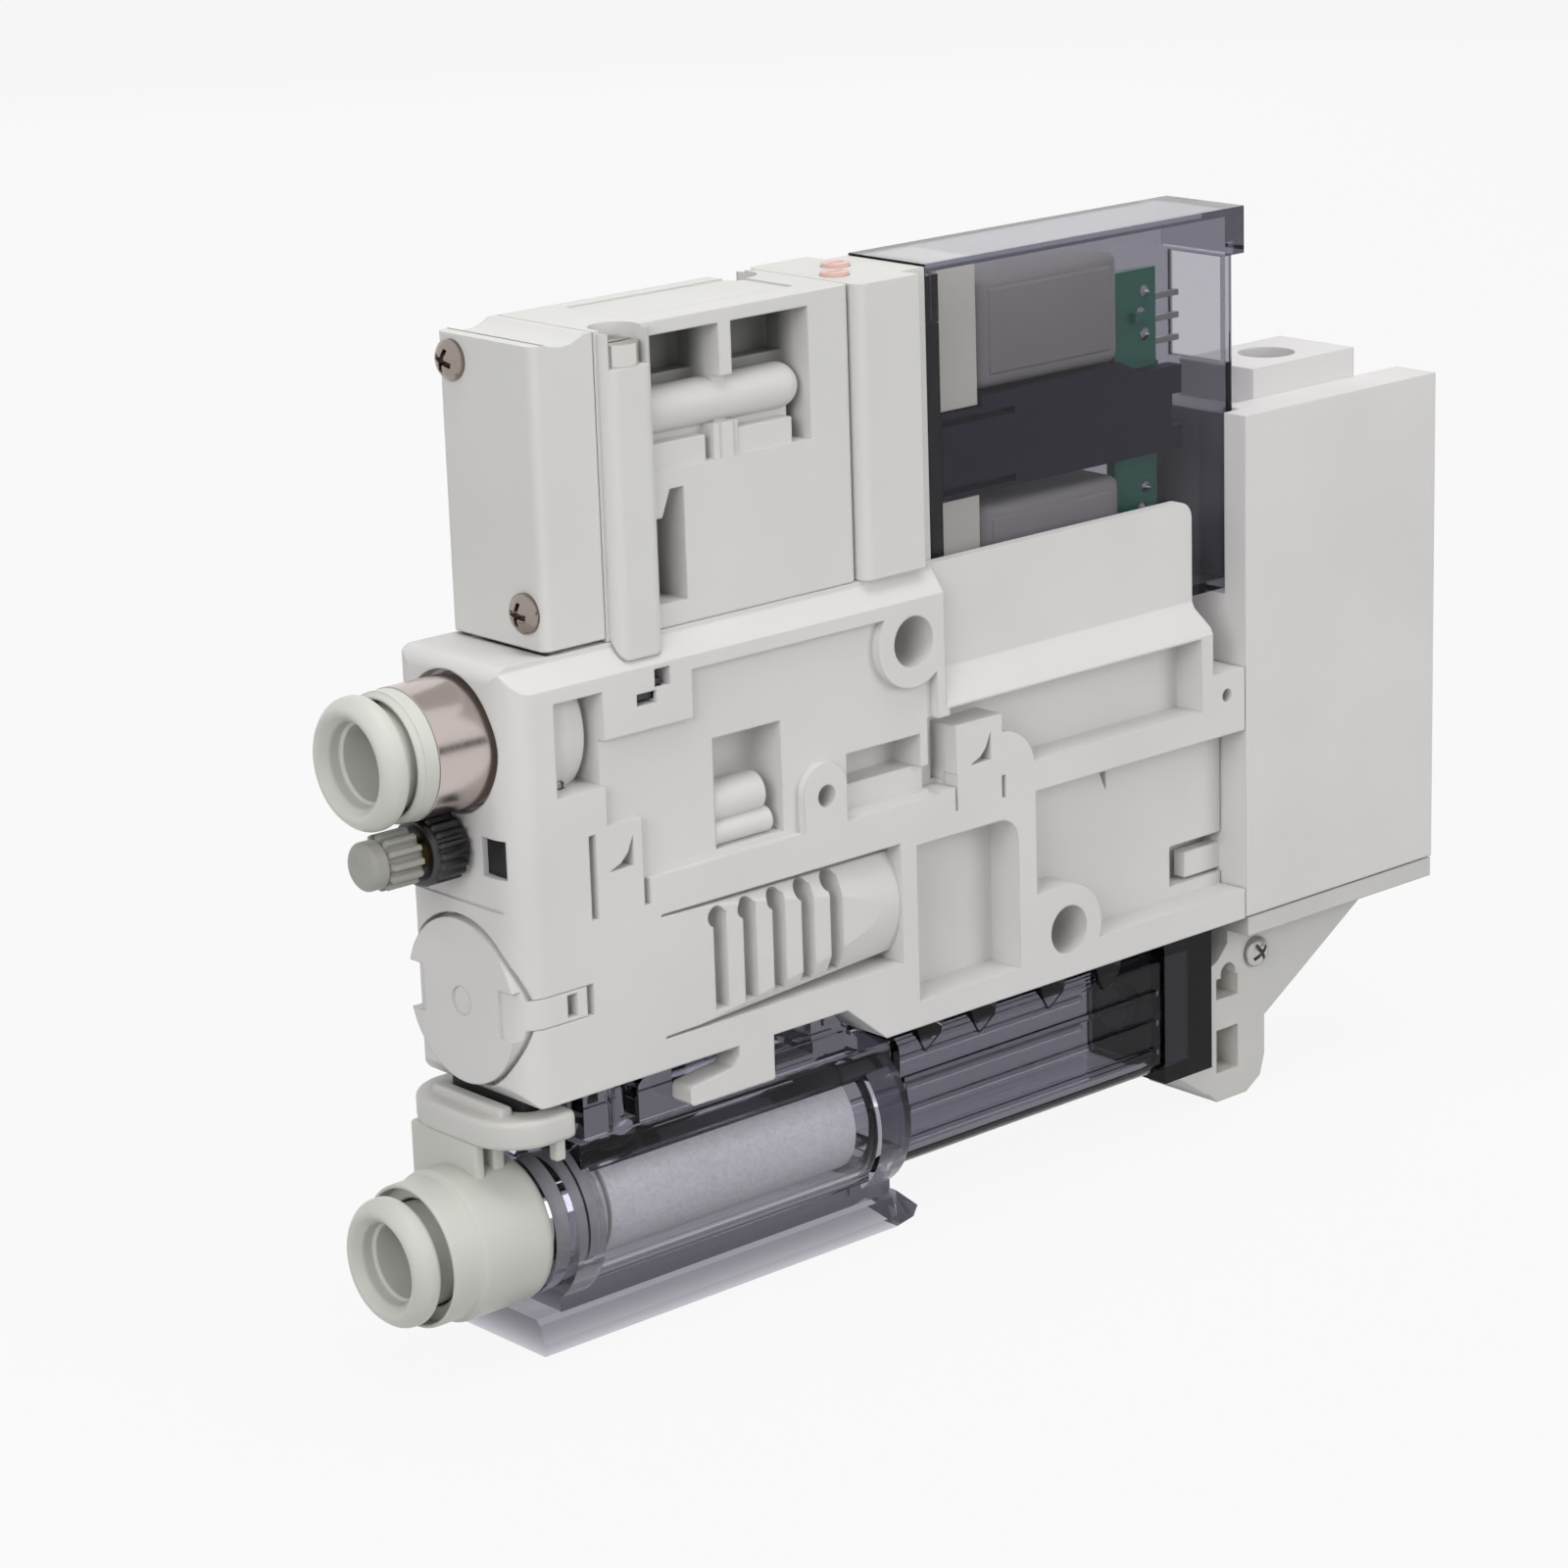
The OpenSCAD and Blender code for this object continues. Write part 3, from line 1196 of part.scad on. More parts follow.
module override_button(p) {
    translate([p[0], p[1], valve_z1 - 2]) difference() {
        cylinder(h = 2.3, r = override_r);
        translate([-0.9, -0.15, 2]) cube([1.8, 0.3, 1]);
    }
}

module supply_override() {
    color("#d9694f") override_button(override_at[0]);
}

module release_override() {
    color("#d9694f") override_button(override_at[1]);
}

// ---------------------------------------------------------------- pilot group

module pilot_gasket() {
    color("#1d1d22") difference() {
        block(gasket_x0, rail_x0 - 0.05, -gasket_half, gasket_half, cover_z0 + 1, valve_z1 - 0.9);
        block(gasket_x0 - 1, rail_x0, -side, light_half + gap, light_z0 - gap, valve_z1);
        bar_x(gasket_x0 - 1, rail_x0 + 1, 0.8, pilot_z[0]);
        // slot that leads the air down from the adapter's lower port
        block(gasket_x0 - 1, rail_x0 + 1, -0.8, 0.8, pilot_z[1], pilot_port_z[1]);
    }
}

// Light guide of the indicator, a clear rod in front of the gasket
module light_guide() {
    color("#f2f3f4")
        block(gasket_x0, rail_x0 - 0.05, -gasket_half, light_half, light_z0, valve_z1 - 0.9);
}

// Moulded bobbin: a square cheek, a tube for the plunger and a small rear cheek
module bobbin(z) {
    difference() {
        union() {
            block(rail_x0, cheek_x1, -cheek_half, cheek_half, z - cheek_h / 2, z + cheek_h / 2);
            bar_x(cheek_x1 - 0.3, can_x1 - 1.5, pin_r + 0.7, z);
            bar_x(can_x1 - 2.1, can_x1 - 1.1, 3.3, z);
        }
        bar_x(rail_x0 - 1, can_x1, pin_r + run, z);
    }
}

module supply_bobbin() {
    color("#d3d2bd") bobbin(pilot_z[0]);
}

module release_bobbin() {
    color("#d3d2bd") bobbin(pilot_z[1]);
}

module coil(z) {
    difference() {
        bar_x(cheek_x1 + 0.2, can_x1 - 2.3, 3.2, z);
        bar_x(cheek_x1, can_x1, pin_r + 0.8, z);
    }
}

module supply_coil() {
    color("#a8622f") coil(pilot_z[0]);
}

module release_coil() {
    color("#a8622f") coil(pilot_z[1]);
}

// Pressed steel can, open at the cheek
module can(z) {
    difference() {
        block(can_x0, can_x1, -can_half + run, can_half - run, z - can_h / 2, z + can_h / 2);
        block(can_x0 - 1, can_x1 - 0.8, -can_half + 0.5, can_half - 0.5,
            z - can_h / 2 + 0.7, z + can_h / 2 - 0.7);
    }
}

module supply_can() {
    color("#8d8b8a") can(pilot_z[0]);
}

module release_can() {
    color("#8d8b8a") can(pilot_z[1]);
}

module plunger(z) {
    bar_x(rail_x0 + 1.1, can_x1 - 5.5, pin_r, z);
}

module supply_plunger() {
    color("#a9adb2") plunger(pilot_z[0]);
}

module release_plunger() {
    color("#a9adb2") plunger(pilot_z[1]);
}

// Dark moulded rail between the two solenoids, with the contact slots
module terminal_holder() {
    color("#2b2a38") difference() {
        union() {
            block(rail_x0, board_x1 + 1.4, -can_half + run, can_half - run,
                pilot_mid - rail_half, pilot_mid + rail_half);
            across(-can_half + run, can_half - run) polygon([
                [can_x0 + 0.2, pilot_mid + rail_half - 0.1], [can_x0 + 0.2, pilot_z[0] - can_h / 2 - 0.4],
                [can_x1 + 0.1, pilot_z[0] - can_h / 2 - gap], [can_x1 + 2.5, pilot_mid + rail_half - 0.1]
            ]);
        }
        for (z = [pilot_mid - 3.3, pilot_mid + 2.6]) block(rail_x0 - 1, can_x0 + 4.1, -5, -2.4, z, z + 0.6);
        // notches at the tail and the slot of the circuit board
        block(board_x1 + 0.2, board_x1 + 3, -5, 5, pilot_mid - 1.7, pilot_mid + 1.2);
        block(board_x0 - gap, board_x1 + 3, board_y - 0.5 - gap, board_y + 0.5 + gap,
            pilot_z[1], pilot_z[0]);
    }
}

module circuit_board() {
    color("#2f5f50") union() {
        block(board_x0, board_x1, board_y - 0.5, board_y + 0.5,
            pilot_mid - board_half, pilot_mid + board_half);
        for (z = pilot_z)
            block(board_x0 + 2.1, board_x0 + 3.7, board_y - 1.2, board_y - 0.5, z - 2, z - 1.2);
    }
}

// Three square pins of the plug connection, in a row above each other
module connector_pins() {
    color("#d8c27a") for (z = [-2, 0, 2])
        translate([board_x1, board_y, (socket_z[0] + socket_z[1]) / 2 + z])
            block(0, 3.2, -0.25, 0.25, -0.25, 0.25);
}

// Clear smoke-coloured cover, open towards the adapter block
module pilot_cover() {
    color("#6a6875") difference() {
        union() {
            block(neck_x1 + gap, cover_x1, -half_c, half_c, cover_z0, cover_z1);
            block(cover_x1 - 0.5, cover_x1 + 1.2, -half_c, half_c, cover_z1 - 4.2, cover_z1);
        }
        block(neck_x1 - 1, cover_x1 - cover_wall, -half_c + cover_wall, half_c - cover_wall,
            cover_z0 + cover_wall, cover_z1 - cover_wall);
        // socket for the plug
        block(cover_x1 - 2, cover_x1 + 2, -socket_half, socket_half, socket_z[0], socket_z[1]);
        for (s = [-1, 1])
            upright_edge(cover_x1, s * half_c, -1, -s, 0.7, cover_z0 - 1, cover_z1 - 4.2);
    }
}

// ---------------------------------------------------------------- placement

// The unit stands with the middle of the filter case's foot over the origin
module placed() {
    translate([-foot_mid, 0, 0]) children();
}

placed() ejector_body();
placed() supply_fitting();
placed() supply_guide_ring();
placed() supply_release_bush();
placed() supply_collet();
placed() supply_tube_seal();
placed() supply_fitting_seal();
placed() fitting_clip();
placed() needle_knob();
placed() needle();
placed() needle_lock_nut();
placed() end_plug();
placed() end_plug_seal();
placed() nozzle();
placed() diffuser();
placed() diffuser_seal();
placed() absorber_sleeve();
placed() check_valve();
placed() vacuum_port();
placed() vacuum_release_bush();
placed() vacuum_collet();
placed() vacuum_tube_seal();
placed() vacuum_port_seal();
placed() port_clip();
placed() filter_case();
placed() filter_element();
placed() filter_case_seal();
placed() suction_duct();
placed() duct_plug();
placed() tail_bracket();
placed() bracket_screw();
placed() silencer_case();
placed() silencer_element();
placed() valve_body();
placed() valve_end_cap();
placed() end_cap_screws();
placed() valve_gasket();
placed() valve_screws();
placed() valve_screw_nuts();
placed() supply_spool();
placed() release_spool();
placed() supply_spring();
placed() release_spring();
placed() pilot_adapter();
placed() supply_override();
placed() release_override();
placed() pilot_gasket();
placed() light_guide();
placed() supply_bobbin();
placed() release_bobbin();
placed() supply_coil();
placed() release_coil();
placed() supply_can();
placed() release_can();
placed() supply_plunger();
placed() release_plunger();
placed() terminal_holder();
placed() circuit_board();
placed() connector_pins();
placed() pilot_cover();
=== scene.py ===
"""Dresses the vacuum ejector unit: finishes for every moulded, turned and pressed
piece, the small turned and driven pieces that the solids keep plain, then the
floor, the lights and the camera."""

import bpy
import numpy as np
from mathutils import Matrix, Vector


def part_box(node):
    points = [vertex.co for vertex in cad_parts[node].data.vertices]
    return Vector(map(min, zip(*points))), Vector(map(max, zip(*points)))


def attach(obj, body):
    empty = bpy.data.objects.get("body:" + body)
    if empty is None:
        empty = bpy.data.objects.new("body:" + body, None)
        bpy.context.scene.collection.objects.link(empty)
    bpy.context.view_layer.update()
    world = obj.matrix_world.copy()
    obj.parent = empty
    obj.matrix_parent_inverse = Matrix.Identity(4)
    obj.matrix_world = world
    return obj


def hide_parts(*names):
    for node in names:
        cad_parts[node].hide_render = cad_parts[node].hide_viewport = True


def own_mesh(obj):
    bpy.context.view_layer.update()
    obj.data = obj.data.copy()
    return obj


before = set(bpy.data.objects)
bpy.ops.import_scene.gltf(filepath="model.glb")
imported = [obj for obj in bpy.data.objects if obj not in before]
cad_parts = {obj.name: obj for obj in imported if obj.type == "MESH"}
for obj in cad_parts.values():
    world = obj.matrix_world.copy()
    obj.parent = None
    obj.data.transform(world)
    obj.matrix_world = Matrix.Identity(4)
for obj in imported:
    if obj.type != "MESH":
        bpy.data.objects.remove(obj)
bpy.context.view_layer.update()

# ---------------------------------------------------------------- manifold body
# The manifold is one injection moulding of filled PBT: dense, light warm grey,
# with a fine spark-eroded grain that scatters light and edges rounded by a few
# tenths of a millimetre. Plug and silencer case are moulded from the same batch.
MM = 0.001  # sizes below are in mm, and the scene is in metres


def linear(hex_colour):
    """sRGB hex to linear RGBA: each channel over 12.92 below 0.04045, else ((c + 0.055) / 1.055) ^ 2.4."""
    c = np.array([int(hex_colour[i:i + 2], 16) / 255 for i in (1, 3, 5)])
    c = np.where(c <= 0.04045, c / 12.92, ((c + 0.055) / 1.055) ** 2.4)
    return (*c.tolist(), 1.0)


def add(tree, kind, settings=None, **links):
    """Adds a node: settings are its properties and socket values, links its inputs by socket name."""
    node = tree.nodes.new(kind)
    for name, value in (settings or {}).items():
        if hasattr(node, name):
            setattr(node, name, value)
        else:
            node.inputs[name].default_value = value
    for name, source in links.items():
        tree.links.new(source, node.inputs[name.replace("_", " ")])
    return node


def new_material(name):
    """A material with its shader and the Object coordinates that its patterns use."""
    material = bpy.data.materials.new(name)
    material.use_nodes = True
    tree = material.node_tree
    place = add(tree, "ShaderNodeTexCoord").outputs["Object"]
    return material, tree, tree.nodes["Principled BSDF"], place


def moulded(name, colour, darker, roughness, grain_mm, edge_mm=0.18, depth=0.25):
    """Injection-moulded plastic: tone drifts over drift_mm as the melt flowed, grain of grain_mm marks the
    surface in relief and gloss, and a bevelled normal rounds the edges by edge_mm. The grain of a real
    tool is about 0.05 mm, and it is drawn a few times coarser so that it shows."""
    material, tree, shader, place = new_material(name)
    drift_mm, relief_mm = 18, 0.02
    drift = add(tree, "ShaderNodeTexNoise", {"Scale": 1 / (drift_mm * MM), "Detail": 2.0}, Vector=place)
    tone = add(tree, "ShaderNodeValToRGB", {}, Fac=drift.outputs["Fac"])
    tone.color_ramp.elements[0].position = 0.35
    tone.color_ramp.elements[0].color = linear(darker)
    tone.color_ramp.elements[1].position = 0.65
    tone.color_ramp.elements[1].color = linear(colour)
    tree.links.new(tone.outputs["Color"], shader.inputs["Base Color"])
    grain = add(tree, "ShaderNodeTexNoise", {"Scale": 1 / (grain_mm * MM), "Detail": 3.0}, Vector=place)
    gloss = add(tree, "ShaderNodeMapRange", {"To Min": roughness - 0.05, "To Max": roughness + 0.06},
                Value=grain.outputs["Fac"])
    tree.links.new(gloss.outputs["Result"], shader.inputs["Roughness"])
    edge = add(tree, "ShaderNodeBevel", {"samples": 6, "Radius": edge_mm * MM})
    bump = add(tree, "ShaderNodeBump", {"Strength": depth, "Distance": relief_mm * MM},
               Height=grain.outputs["Fac"], Normal=edge.outputs["Normal"])
    tree.links.new(bump.outputs["Normal"], shader.inputs["Normal"])
    return material


def dress(material, *nodes):
    """Gives each of these solids the one material, in its own slot."""
    for node in nodes:
        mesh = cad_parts[node].data
        mesh.materials.clear()
        mesh.materials.append(material)


# Filled PBT: semi-matt, it shows broad soft highlights and no reflections
body_pbt = moulded("moulded_PBT_warm_grey", "#D9D7D6", "#D4D2D1", 0.52, 0.35, edge_mm=0.25)
dress(body_pbt, "ejector_body", "end_plug", "silencer_case", "diffuser")

# ---------------------------------------------------------------- supply and vacuum fittings
# Push-in fittings: the supply sleeve is turned brass under bright nickel, and the
# vacuum port, guide ring and release bushes are POM, whiter and slicker than the
# body. Each bush is turned to a bevelled mouth, a rounded flange and a thin neck.


def rounded(corners, radii, steps=5):
    """A profile whose corners become short parabolas: (1-s)^2 A + 2 s (1-s) P + s^2 B, where P is the
    corner and A and B lie at its radius along both sides, or at 45 % of a short side."""
    corners = np.asarray(corners, float)
    s = np.linspace(0, 1, steps)[:, None]
    before, after = np.roll(corners, 1, 0), np.roll(corners, -1, 0)
    runs = []
    for p, a, b, r in zip(corners, before, after, radii):
        to_a, to_b = a - p, b - p
        reach_a = min(r, 0.45 * np.hypot(*to_a)) * to_a / np.hypot(*to_a)
        reach_b = min(r, 0.45 * np.hypot(*to_b)) * to_b / np.hypot(*to_b)
        runs.append((1 - s) ** 2 * (p + reach_a) + 2 * s * (1 - s) * p + s ** 2 * (p + reach_b)
                    if r > 0 else p[None])
    return np.concatenate(runs)


def skinned(name, shapes, loop=False):
    """One mesh from closed shapes, each an array of rows of points, shape (rows, columns, 3), in mm.
    Rows join to the next row and round themselves; the end rows close on their centres, or with loop
    the last row joins the first. A shape whose volume comes out negative is turned the right way."""
    points, faces, start = [], [], 0
    for rows in shapes:
        count, columns = rows.shape[:2]
        index = start + np.arange(count * columns).reshape(count, columns)
        beside = np.roll(index, -1, 1)
        lower, upper = (index, np.roll(index, -1, 0)) if loop else (index[:-1], index[1:])
        lower_on, upper_on = (beside, np.roll(beside, -1, 0)) if loop else (beside[:-1], beside[1:])
        quads = np.stack([lower, lower_on, upper_on, upper], -1).reshape(-1, 4)
        flat = rows.reshape(-1, 3)
        ends = np.zeros((0, 3), int)
        if not loop:
            first, last = start + count * columns, start + count * columns + 1
            flat = np.concatenate([flat, rows[0].mean(0)[None], rows[-1].mean(0)[None]])
            ends = np.concatenate([np.stack([beside[0], index[0], np.full(columns, first)], -1),
                                   np.stack([index[-1], beside[-1], np.full(columns, last)], -1)])
        a, b, c, d = (flat[quads[:, k] - start] for k in range(4))
        volume = (np.cross(a, b) * c).sum() + (np.cross(a, c) * d).sum()
        if len(ends):
            volume += (np.cross(flat[ends[:, 0] - start], flat[ends[:, 1] - start])
                       * flat[ends[:, 2] - start]).sum()
        if volume < 0:
            quads, ends = quads[:, ::-1], ends[:, ::-1]
        points.append(flat)
        faces += quads.tolist() + ends.tolist()
        start += len(flat)
    mesh = bpy.data.meshes.new(name)
    mesh.from_pydata((np.concatenate(points) * MM).tolist(), [], faces)
    mesh.shade_smooth()
    piece = bpy.data.objects.new(name, mesh)
    bpy.context.scene.collection.objects.link(piece)
    return piece


def revolved(profile, axis_z, axis_y=0.0, columns=96, swell=None):
    """Rows of a body turned about an axis along X: point (i, t) lies at x_i, at angle t and at radius
    r_i + swell(x_i, t)."""
    turn = np.linspace(0, 2 * np.pi, columns, endpoint=False)[None, :]
    x, r = profile[:, 0][:, None], profile[:, 1][:, None]
    r = r + (swell(x, turn) if swell else 0 * turn)
    return np.stack([x + 0 * turn, axis_y + r * np.cos(turn), axis_z + r * np.sin(turn)], -1)


def fitted(piece, body, material):
    """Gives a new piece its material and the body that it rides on."""
    piece.data.materials.append(material)
    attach(piece, body)


def placed(piece, node, body, material):
    """Fits a new piece that stands for a solid."""
    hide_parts(node)
    fitted(piece, body, material)


# Unfilled POM: slick and faintly green-grey, so its highlights are brighter and tighter
white_pom = moulded("moulded_POM_white", "#CBCCC5", "#C4C5BE", 0.36, 0.2, edge_mm=0.15)
dress(white_pom, "supply_guide_ring")


def release_bush(name, node, body):
    """A bush from the box of its solid: it is turned from face to neck, bored for a 6 mm tube, with a
    bevelled mouth, a rim that rolls over and a step behind the flange."""
    low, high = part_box(node)
    x0, x1 = low.x / MM, high.x / MM
    z = (low.z + high.z) / 2 / MM
    r = (high.z - low.z) / 2 / MM
    neck, bore, flange = 4.3, 3.1, x0 + 2.3
    profile = rounded(
        [(x0, bore + 1.0), (x0, r - 0.8), (x0 + 0.9, r), (flange - 0.4, r), (flange, r - 0.4), (flange, neck),
         (x1, neck), (x1, bore), (x0 + 1.9, bore), (x0 + 1.7, bore + 0.25), (x0 + 0.8, bore + 0.35)],
        [0.3, 0.6, 0.5, 0.25, 0.15, 0.1, 0.1, 0.1, 0.08, 0.08, 0.2])
    placed(skinned(name, [revolved(profile, z)], loop=True), node, body, white_pom)


release_bush("supply_bush_turned", "supply_release_bush", "supply_bush")
release_bush("vacuum_bush_turned", "vacuum_release_bush", "vacuum_bush")


def four_corners(steps=5):
    """Quarter circles at the four corners of a rectangle: the angle of each point, and the side of the
    middle on which its corner lies, as +1 or -1 along both of the rectangle's directions."""
    quarter = np.linspace(0, np.pi / 2, steps)[None, :]
    angle = (quarter + np.arange(4)[:, None] * np.pi / 2).ravel()
    return angle, np.repeat([1, -1, -1, 1], steps), np.repeat([1, 1, -1, -1], steps)


def rounded_block(low, high, r, along=0):
    """Rows of a block with every edge rounded by r. At r (1 - cos a) from an end, a from 9 to 90 degrees,
    the outline is a rectangle drawn in by r (1 - sin a), with quarter circles of r sin a at its corners."""
    low, high = np.asarray(low, float), np.asarray(high, float)
    p, q = (along + 1) % 3, (along + 2) % 3
    a = np.linspace(0.15, np.pi / 2, 5)
    station = np.concatenate([low[along] + r * (1 - np.cos(a)), (high[along] - r * (1 - np.cos(a)))[::-1]])
    radius = np.concatenate([r * np.sin(a), (r * np.sin(a))[::-1]])[:, None]
    angle, side_p, side_q = four_corners()
    middle, half = (low + high) / 2, (high - low) / 2
    rows = np.zeros((len(station), len(angle), 3))
    rows[..., along] = station[:, None]
    rows[..., p] = middle[p] + side_p * (half[p] - r) + radius * np.cos(angle)
    rows[..., q] = middle[q] + side_q * (half[q] - r) + radius * np.sin(angle)
    return rows


# The suction port: a sleeve with a thinner mouth and a round shoulder, its spigot, and the upright
# on which the clip sits
port_low, port_high = (np.array(v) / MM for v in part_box("vacuum_port"))
PORT_X, PORT_R = port_low[0], (port_high[1] - port_low[1]) / 2
PORT_Z = port_low[2] + PORT_R
SLEEVE_END = PORT_X + 10
SEAT_X = PORT_X + 11.7
SPIGOT_R, PASSAGE_R, BORE_R, MOUTH_R = 4.9, 3.3, 4.5, 5.65
port_profile = rounded(
    [(PORT_X, PORT_R - 0.4), (PORT_X + 2.7, PORT_R - 0.4), (PORT_X + 3.0, PORT_R), (SLEEVE_END, PORT_R),
     (SLEEVE_END, SPIGOT_R), (port_high[0], SPIGOT_R), (port_high[0], PASSAGE_R), (SEAT_X, PASSAGE_R),
     (SEAT_X, BORE_R), (PORT_X + 1.3, BORE_R), (PORT_X + 1.3, MOUTH_R), (PORT_X, MOUTH_R)],
    [0.35, 0.15, 0.3, 1.4, 0.2, 0.3, 0.2, 0.2, 0.2, 0.2, 0.1, 0.12])
port_sleeve = skinned("suction_port_sleeve", [revolved(port_profile, PORT_Z)], loop=True)
placed(port_sleeve, "vacuum_port", "unit", white_pom)
upright = skinned("suction_port_upright", [
    rounded_block((PORT_X + 5.1, -2.6, PORT_Z + 3), (PORT_X + 6.1, 6.1, port_high[2]), 0.35, along=1)])
fitted(upright, "unit", white_pom)

# ---------------------------------------------------------------- port clip and tail bracket
# The clip is a U-shaped POM moulding that is pushed over the suction port from the
# front: a wide bow, two arms with short feet, and a key that drops into the port.
clip_low, clip_high = (np.array(v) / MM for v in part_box("port_clip"))
BAND_H, BOW_W, ARM_W, BEND_R, BAND_CORNER = 2.4, 3.8, 2.5, 3.0, 0.5


def bow_band(low, high):
    """Rows of the bow: its middle line runs along one arm, round a quarter circle, across the bow and
    back along the other arm. At each point the section is a rectangle with rounded corners, as wide as
    the arm on the arms, as the bow on the bow, and in between on the bends. Both tips are drawn in."""
    x_end, x_bow, y_arm = high[0], low[0] + BOW_W / 2, high[1] - ARM_W / 2
    a = np.linspace(0, np.pi / 2, 12)
    arm = np.array([[x_end, -y_arm], [x_end - 0.15, -y_arm], [x_end - 0.6, -y_arm]])
    bend = np.stack([x_bow + BEND_R * (1 - np.sin(a)), -y_arm + BEND_R * (1 - np.cos(a))], -1)
    half_line = np.concatenate([arm, bend])
    half_n = np.concatenate([np.tile([0.0, -1.0], (3, 1)), np.stack([-np.sin(a), -np.cos(a)], -1)])
    width = np.concatenate([[ARM_W * 0.8, ARM_W * 0.96, ARM_W], ARM_W + (BOW_W - ARM_W) * (a / (np.pi / 2))])
    line = np.concatenate([half_line, (half_line * (1, -1))[::-1]])
    normal = np.concatenate([half_n, (half_n * (1, -1))[::-1]])
    width = np.concatenate([width, width[::-1]])[:, None]
    height = np.concatenate([[0.8, 0.96], np.ones(len(line) - 4), [0.96, 0.8]])[:, None] * BAND_H
    angle, side_out, side_up = four_corners()
    out = side_out * (width / 2 - BAND_CORNER) + BAND_CORNER * np.cos(angle)
    lift = side_up * (height / 2 - BAND_CORNER) + BAND_CORNER * np.sin(angle)
    ground = line[:, None, :] + normal[:, None, :] * out[..., None]
    return np.concatenate([ground, (high[2] - BAND_H / 2 + lift)[..., None]], -1)


leg_z = clip_high[2] - BAND_H
clip_x = clip_low[0]
clip_bow = skinned("port_clip_bow", [
    bow_band(clip_low, clip_high),
    # a short foot under each arm, the key, and the thumb ridge on top
    rounded_block((clip_x + 5.8, -6.4, leg_z - 2), (clip_x + 6.8, -5.4, leg_z + 1), 0.2, along=2),
    rounded_block((clip_x + 5.8, 5.4, leg_z - 2), (clip_x + 6.8, 6.4, leg_z + 1), 0.2, along=2),
    rounded_block((clip_x + 2.6, -2.2, clip_low[2]), (clip_x + 3.8, 2.2, leg_z + 1), 0.25, along=2),
    rounded_block((clip_x + 1.7, -4.6, leg_z + 1), (clip_x + 3.1, 4.6, clip_high[2] + 0.7), 0.4, along=1)])
# POM with a coarser tool finish than the bushes: a shade warmer, with softer highlights
clip_pom = moulded("moulded_POM_clip", "#CBCAC6", "#C5C4C0", 0.42, 0.3)
placed(clip_bow, "port_clip", "unit", clip_pom)
dress(clip_pom, "tail_bracket")


def metal(name, colour, roughness, lines_mm, squeeze):
    """Bare or plated metal: tool marks lines_mm apart, drawn long by squeeze, vary its roughness. Real
    marks lie closer, about 0.1 mm, and wouldn't show."""
    material, tree, shader, place = new_material(name)
    shader.inputs["Base Color"].default_value = linear(colour)
    shader.inputs["Metallic"].default_value = 1.0
    drawn = add(tree, "ShaderNodeMapping", {"Scale": squeeze}, Vector=place)
    lines = add(tree, "ShaderNodeTexNoise", {"Scale": 1 / (lines_mm * MM), "Detail": 2.0},
                Vector=drawn.outputs["Vector"])
    gloss = add(tree, "ShaderNodeMapRange", {"To Min": roughness - 0.06, "To Max": roughness + 0.08},
                Value=lines.outputs["Fac"])
    tree.links.new(gloss.outputs["Result"], shader.inputs["Roughness"])
    edge = add(tree, "ShaderNodeBevel", {"samples": 6, "Radius": 0.1 * MM})
    tree.links.new(edge.outputs["Normal"], shader.inputs["Normal"])
    return material


# Bright nickel over turned brass: lathe marks run round it, so highlights stretch along
nickel = metal("nickel_plated_brass", "#C6BBB7", 0.22, 0.3, (1.0, 0.05, 0.05))
dress(nickel, "supply_fitting")
# Zinc plate over drawn steel: neutral grey with soft, broad highlights
steel = metal("zinc_plated_steel", "#B9B8B6", 0.28, 0.3, (1.0, 0.05, 0.05))
dress(steel, "fitting_clip", "supply_collet", "vacuum_collet")

# ---------------------------------------------------------------- flow needle
# A brass needle screw carries a grey PA knob with deep straight ribs and a smooth
# end. Behind it a blackened steel lock nut with a knurled skirt holds the setting.
knob_low, knob_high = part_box("needle_knob")
nut_low, nut_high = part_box("needle_lock_nut")
NEEDLE_Z = (knob_low.z + knob_high.z) / 2 / MM
KNOB_R = (knob_high.z - knob_low.z) / 2 / MM
NUT_R = (nut_high.z - nut_low.z) / 2 / MM
KNOB_X0, KNOB_X1 = knob_low.x / MM, knob_high.x / MM
NUT_X0, NUT_X1 = nut_low.x / MM, nut_high.x / MM
STEM_R, KNOB_RIB, NUT_RIB = 1.15, 0.8, 0.5


def ribs(count, depth, x_from, x_to, fade):
    """Rib height over the core at station x and angle t: depth times cos(count t) stretched by 1.9,
    lifted by 0.55 and held between 0 and 1, and times a ramp of length fade at both ends."""
    def height(x, t):
        crest = np.clip(1.9 * np.cos(count * t) + 0.55, 0, 1)
        ramp = np.clip((x - x_from) / fade, 0, 1) * np.clip((x_to - x) / fade, 0, 1)
        return depth * crest * ramp
    return height


knob_profile = np.concatenate([
    rounded([(KNOB_X0 + 0.15, 0.05), (KNOB_X0 + 0.15, 0.7), (KNOB_X0, 0.95), (KNOB_X0, KNOB_R - 0.7),
             (KNOB_X0 + 0.35, KNOB_R - 0.3), (KNOB_X0 + 1.45, KNOB_R - 0.3)],
            [0, 0.1, 0.1, 0.2, 0.2, 0.05]),
    np.stack([np.linspace(KNOB_X0 + 1.55, KNOB_X1 - 0.15, 24), np.full(24, KNOB_R - KNOB_RIB)], -1),
    rounded([(KNOB_X1, KNOB_R - 0.85), (KNOB_X1, STEM_R), (KNOB_X0 + 1.15, STEM_R), (KNOB_X0 + 1.15, 0.05)],
            [0, 0.1, 0.05, 0])])
knob = skinned("knob_ribbed", [revolved(knob_profile, NEEDLE_Z, columns=144,
                                        swell=ribs(12, KNOB_RIB, KNOB_X0 + 1.5, KNOB_X1 - 0.1, 0.35))])
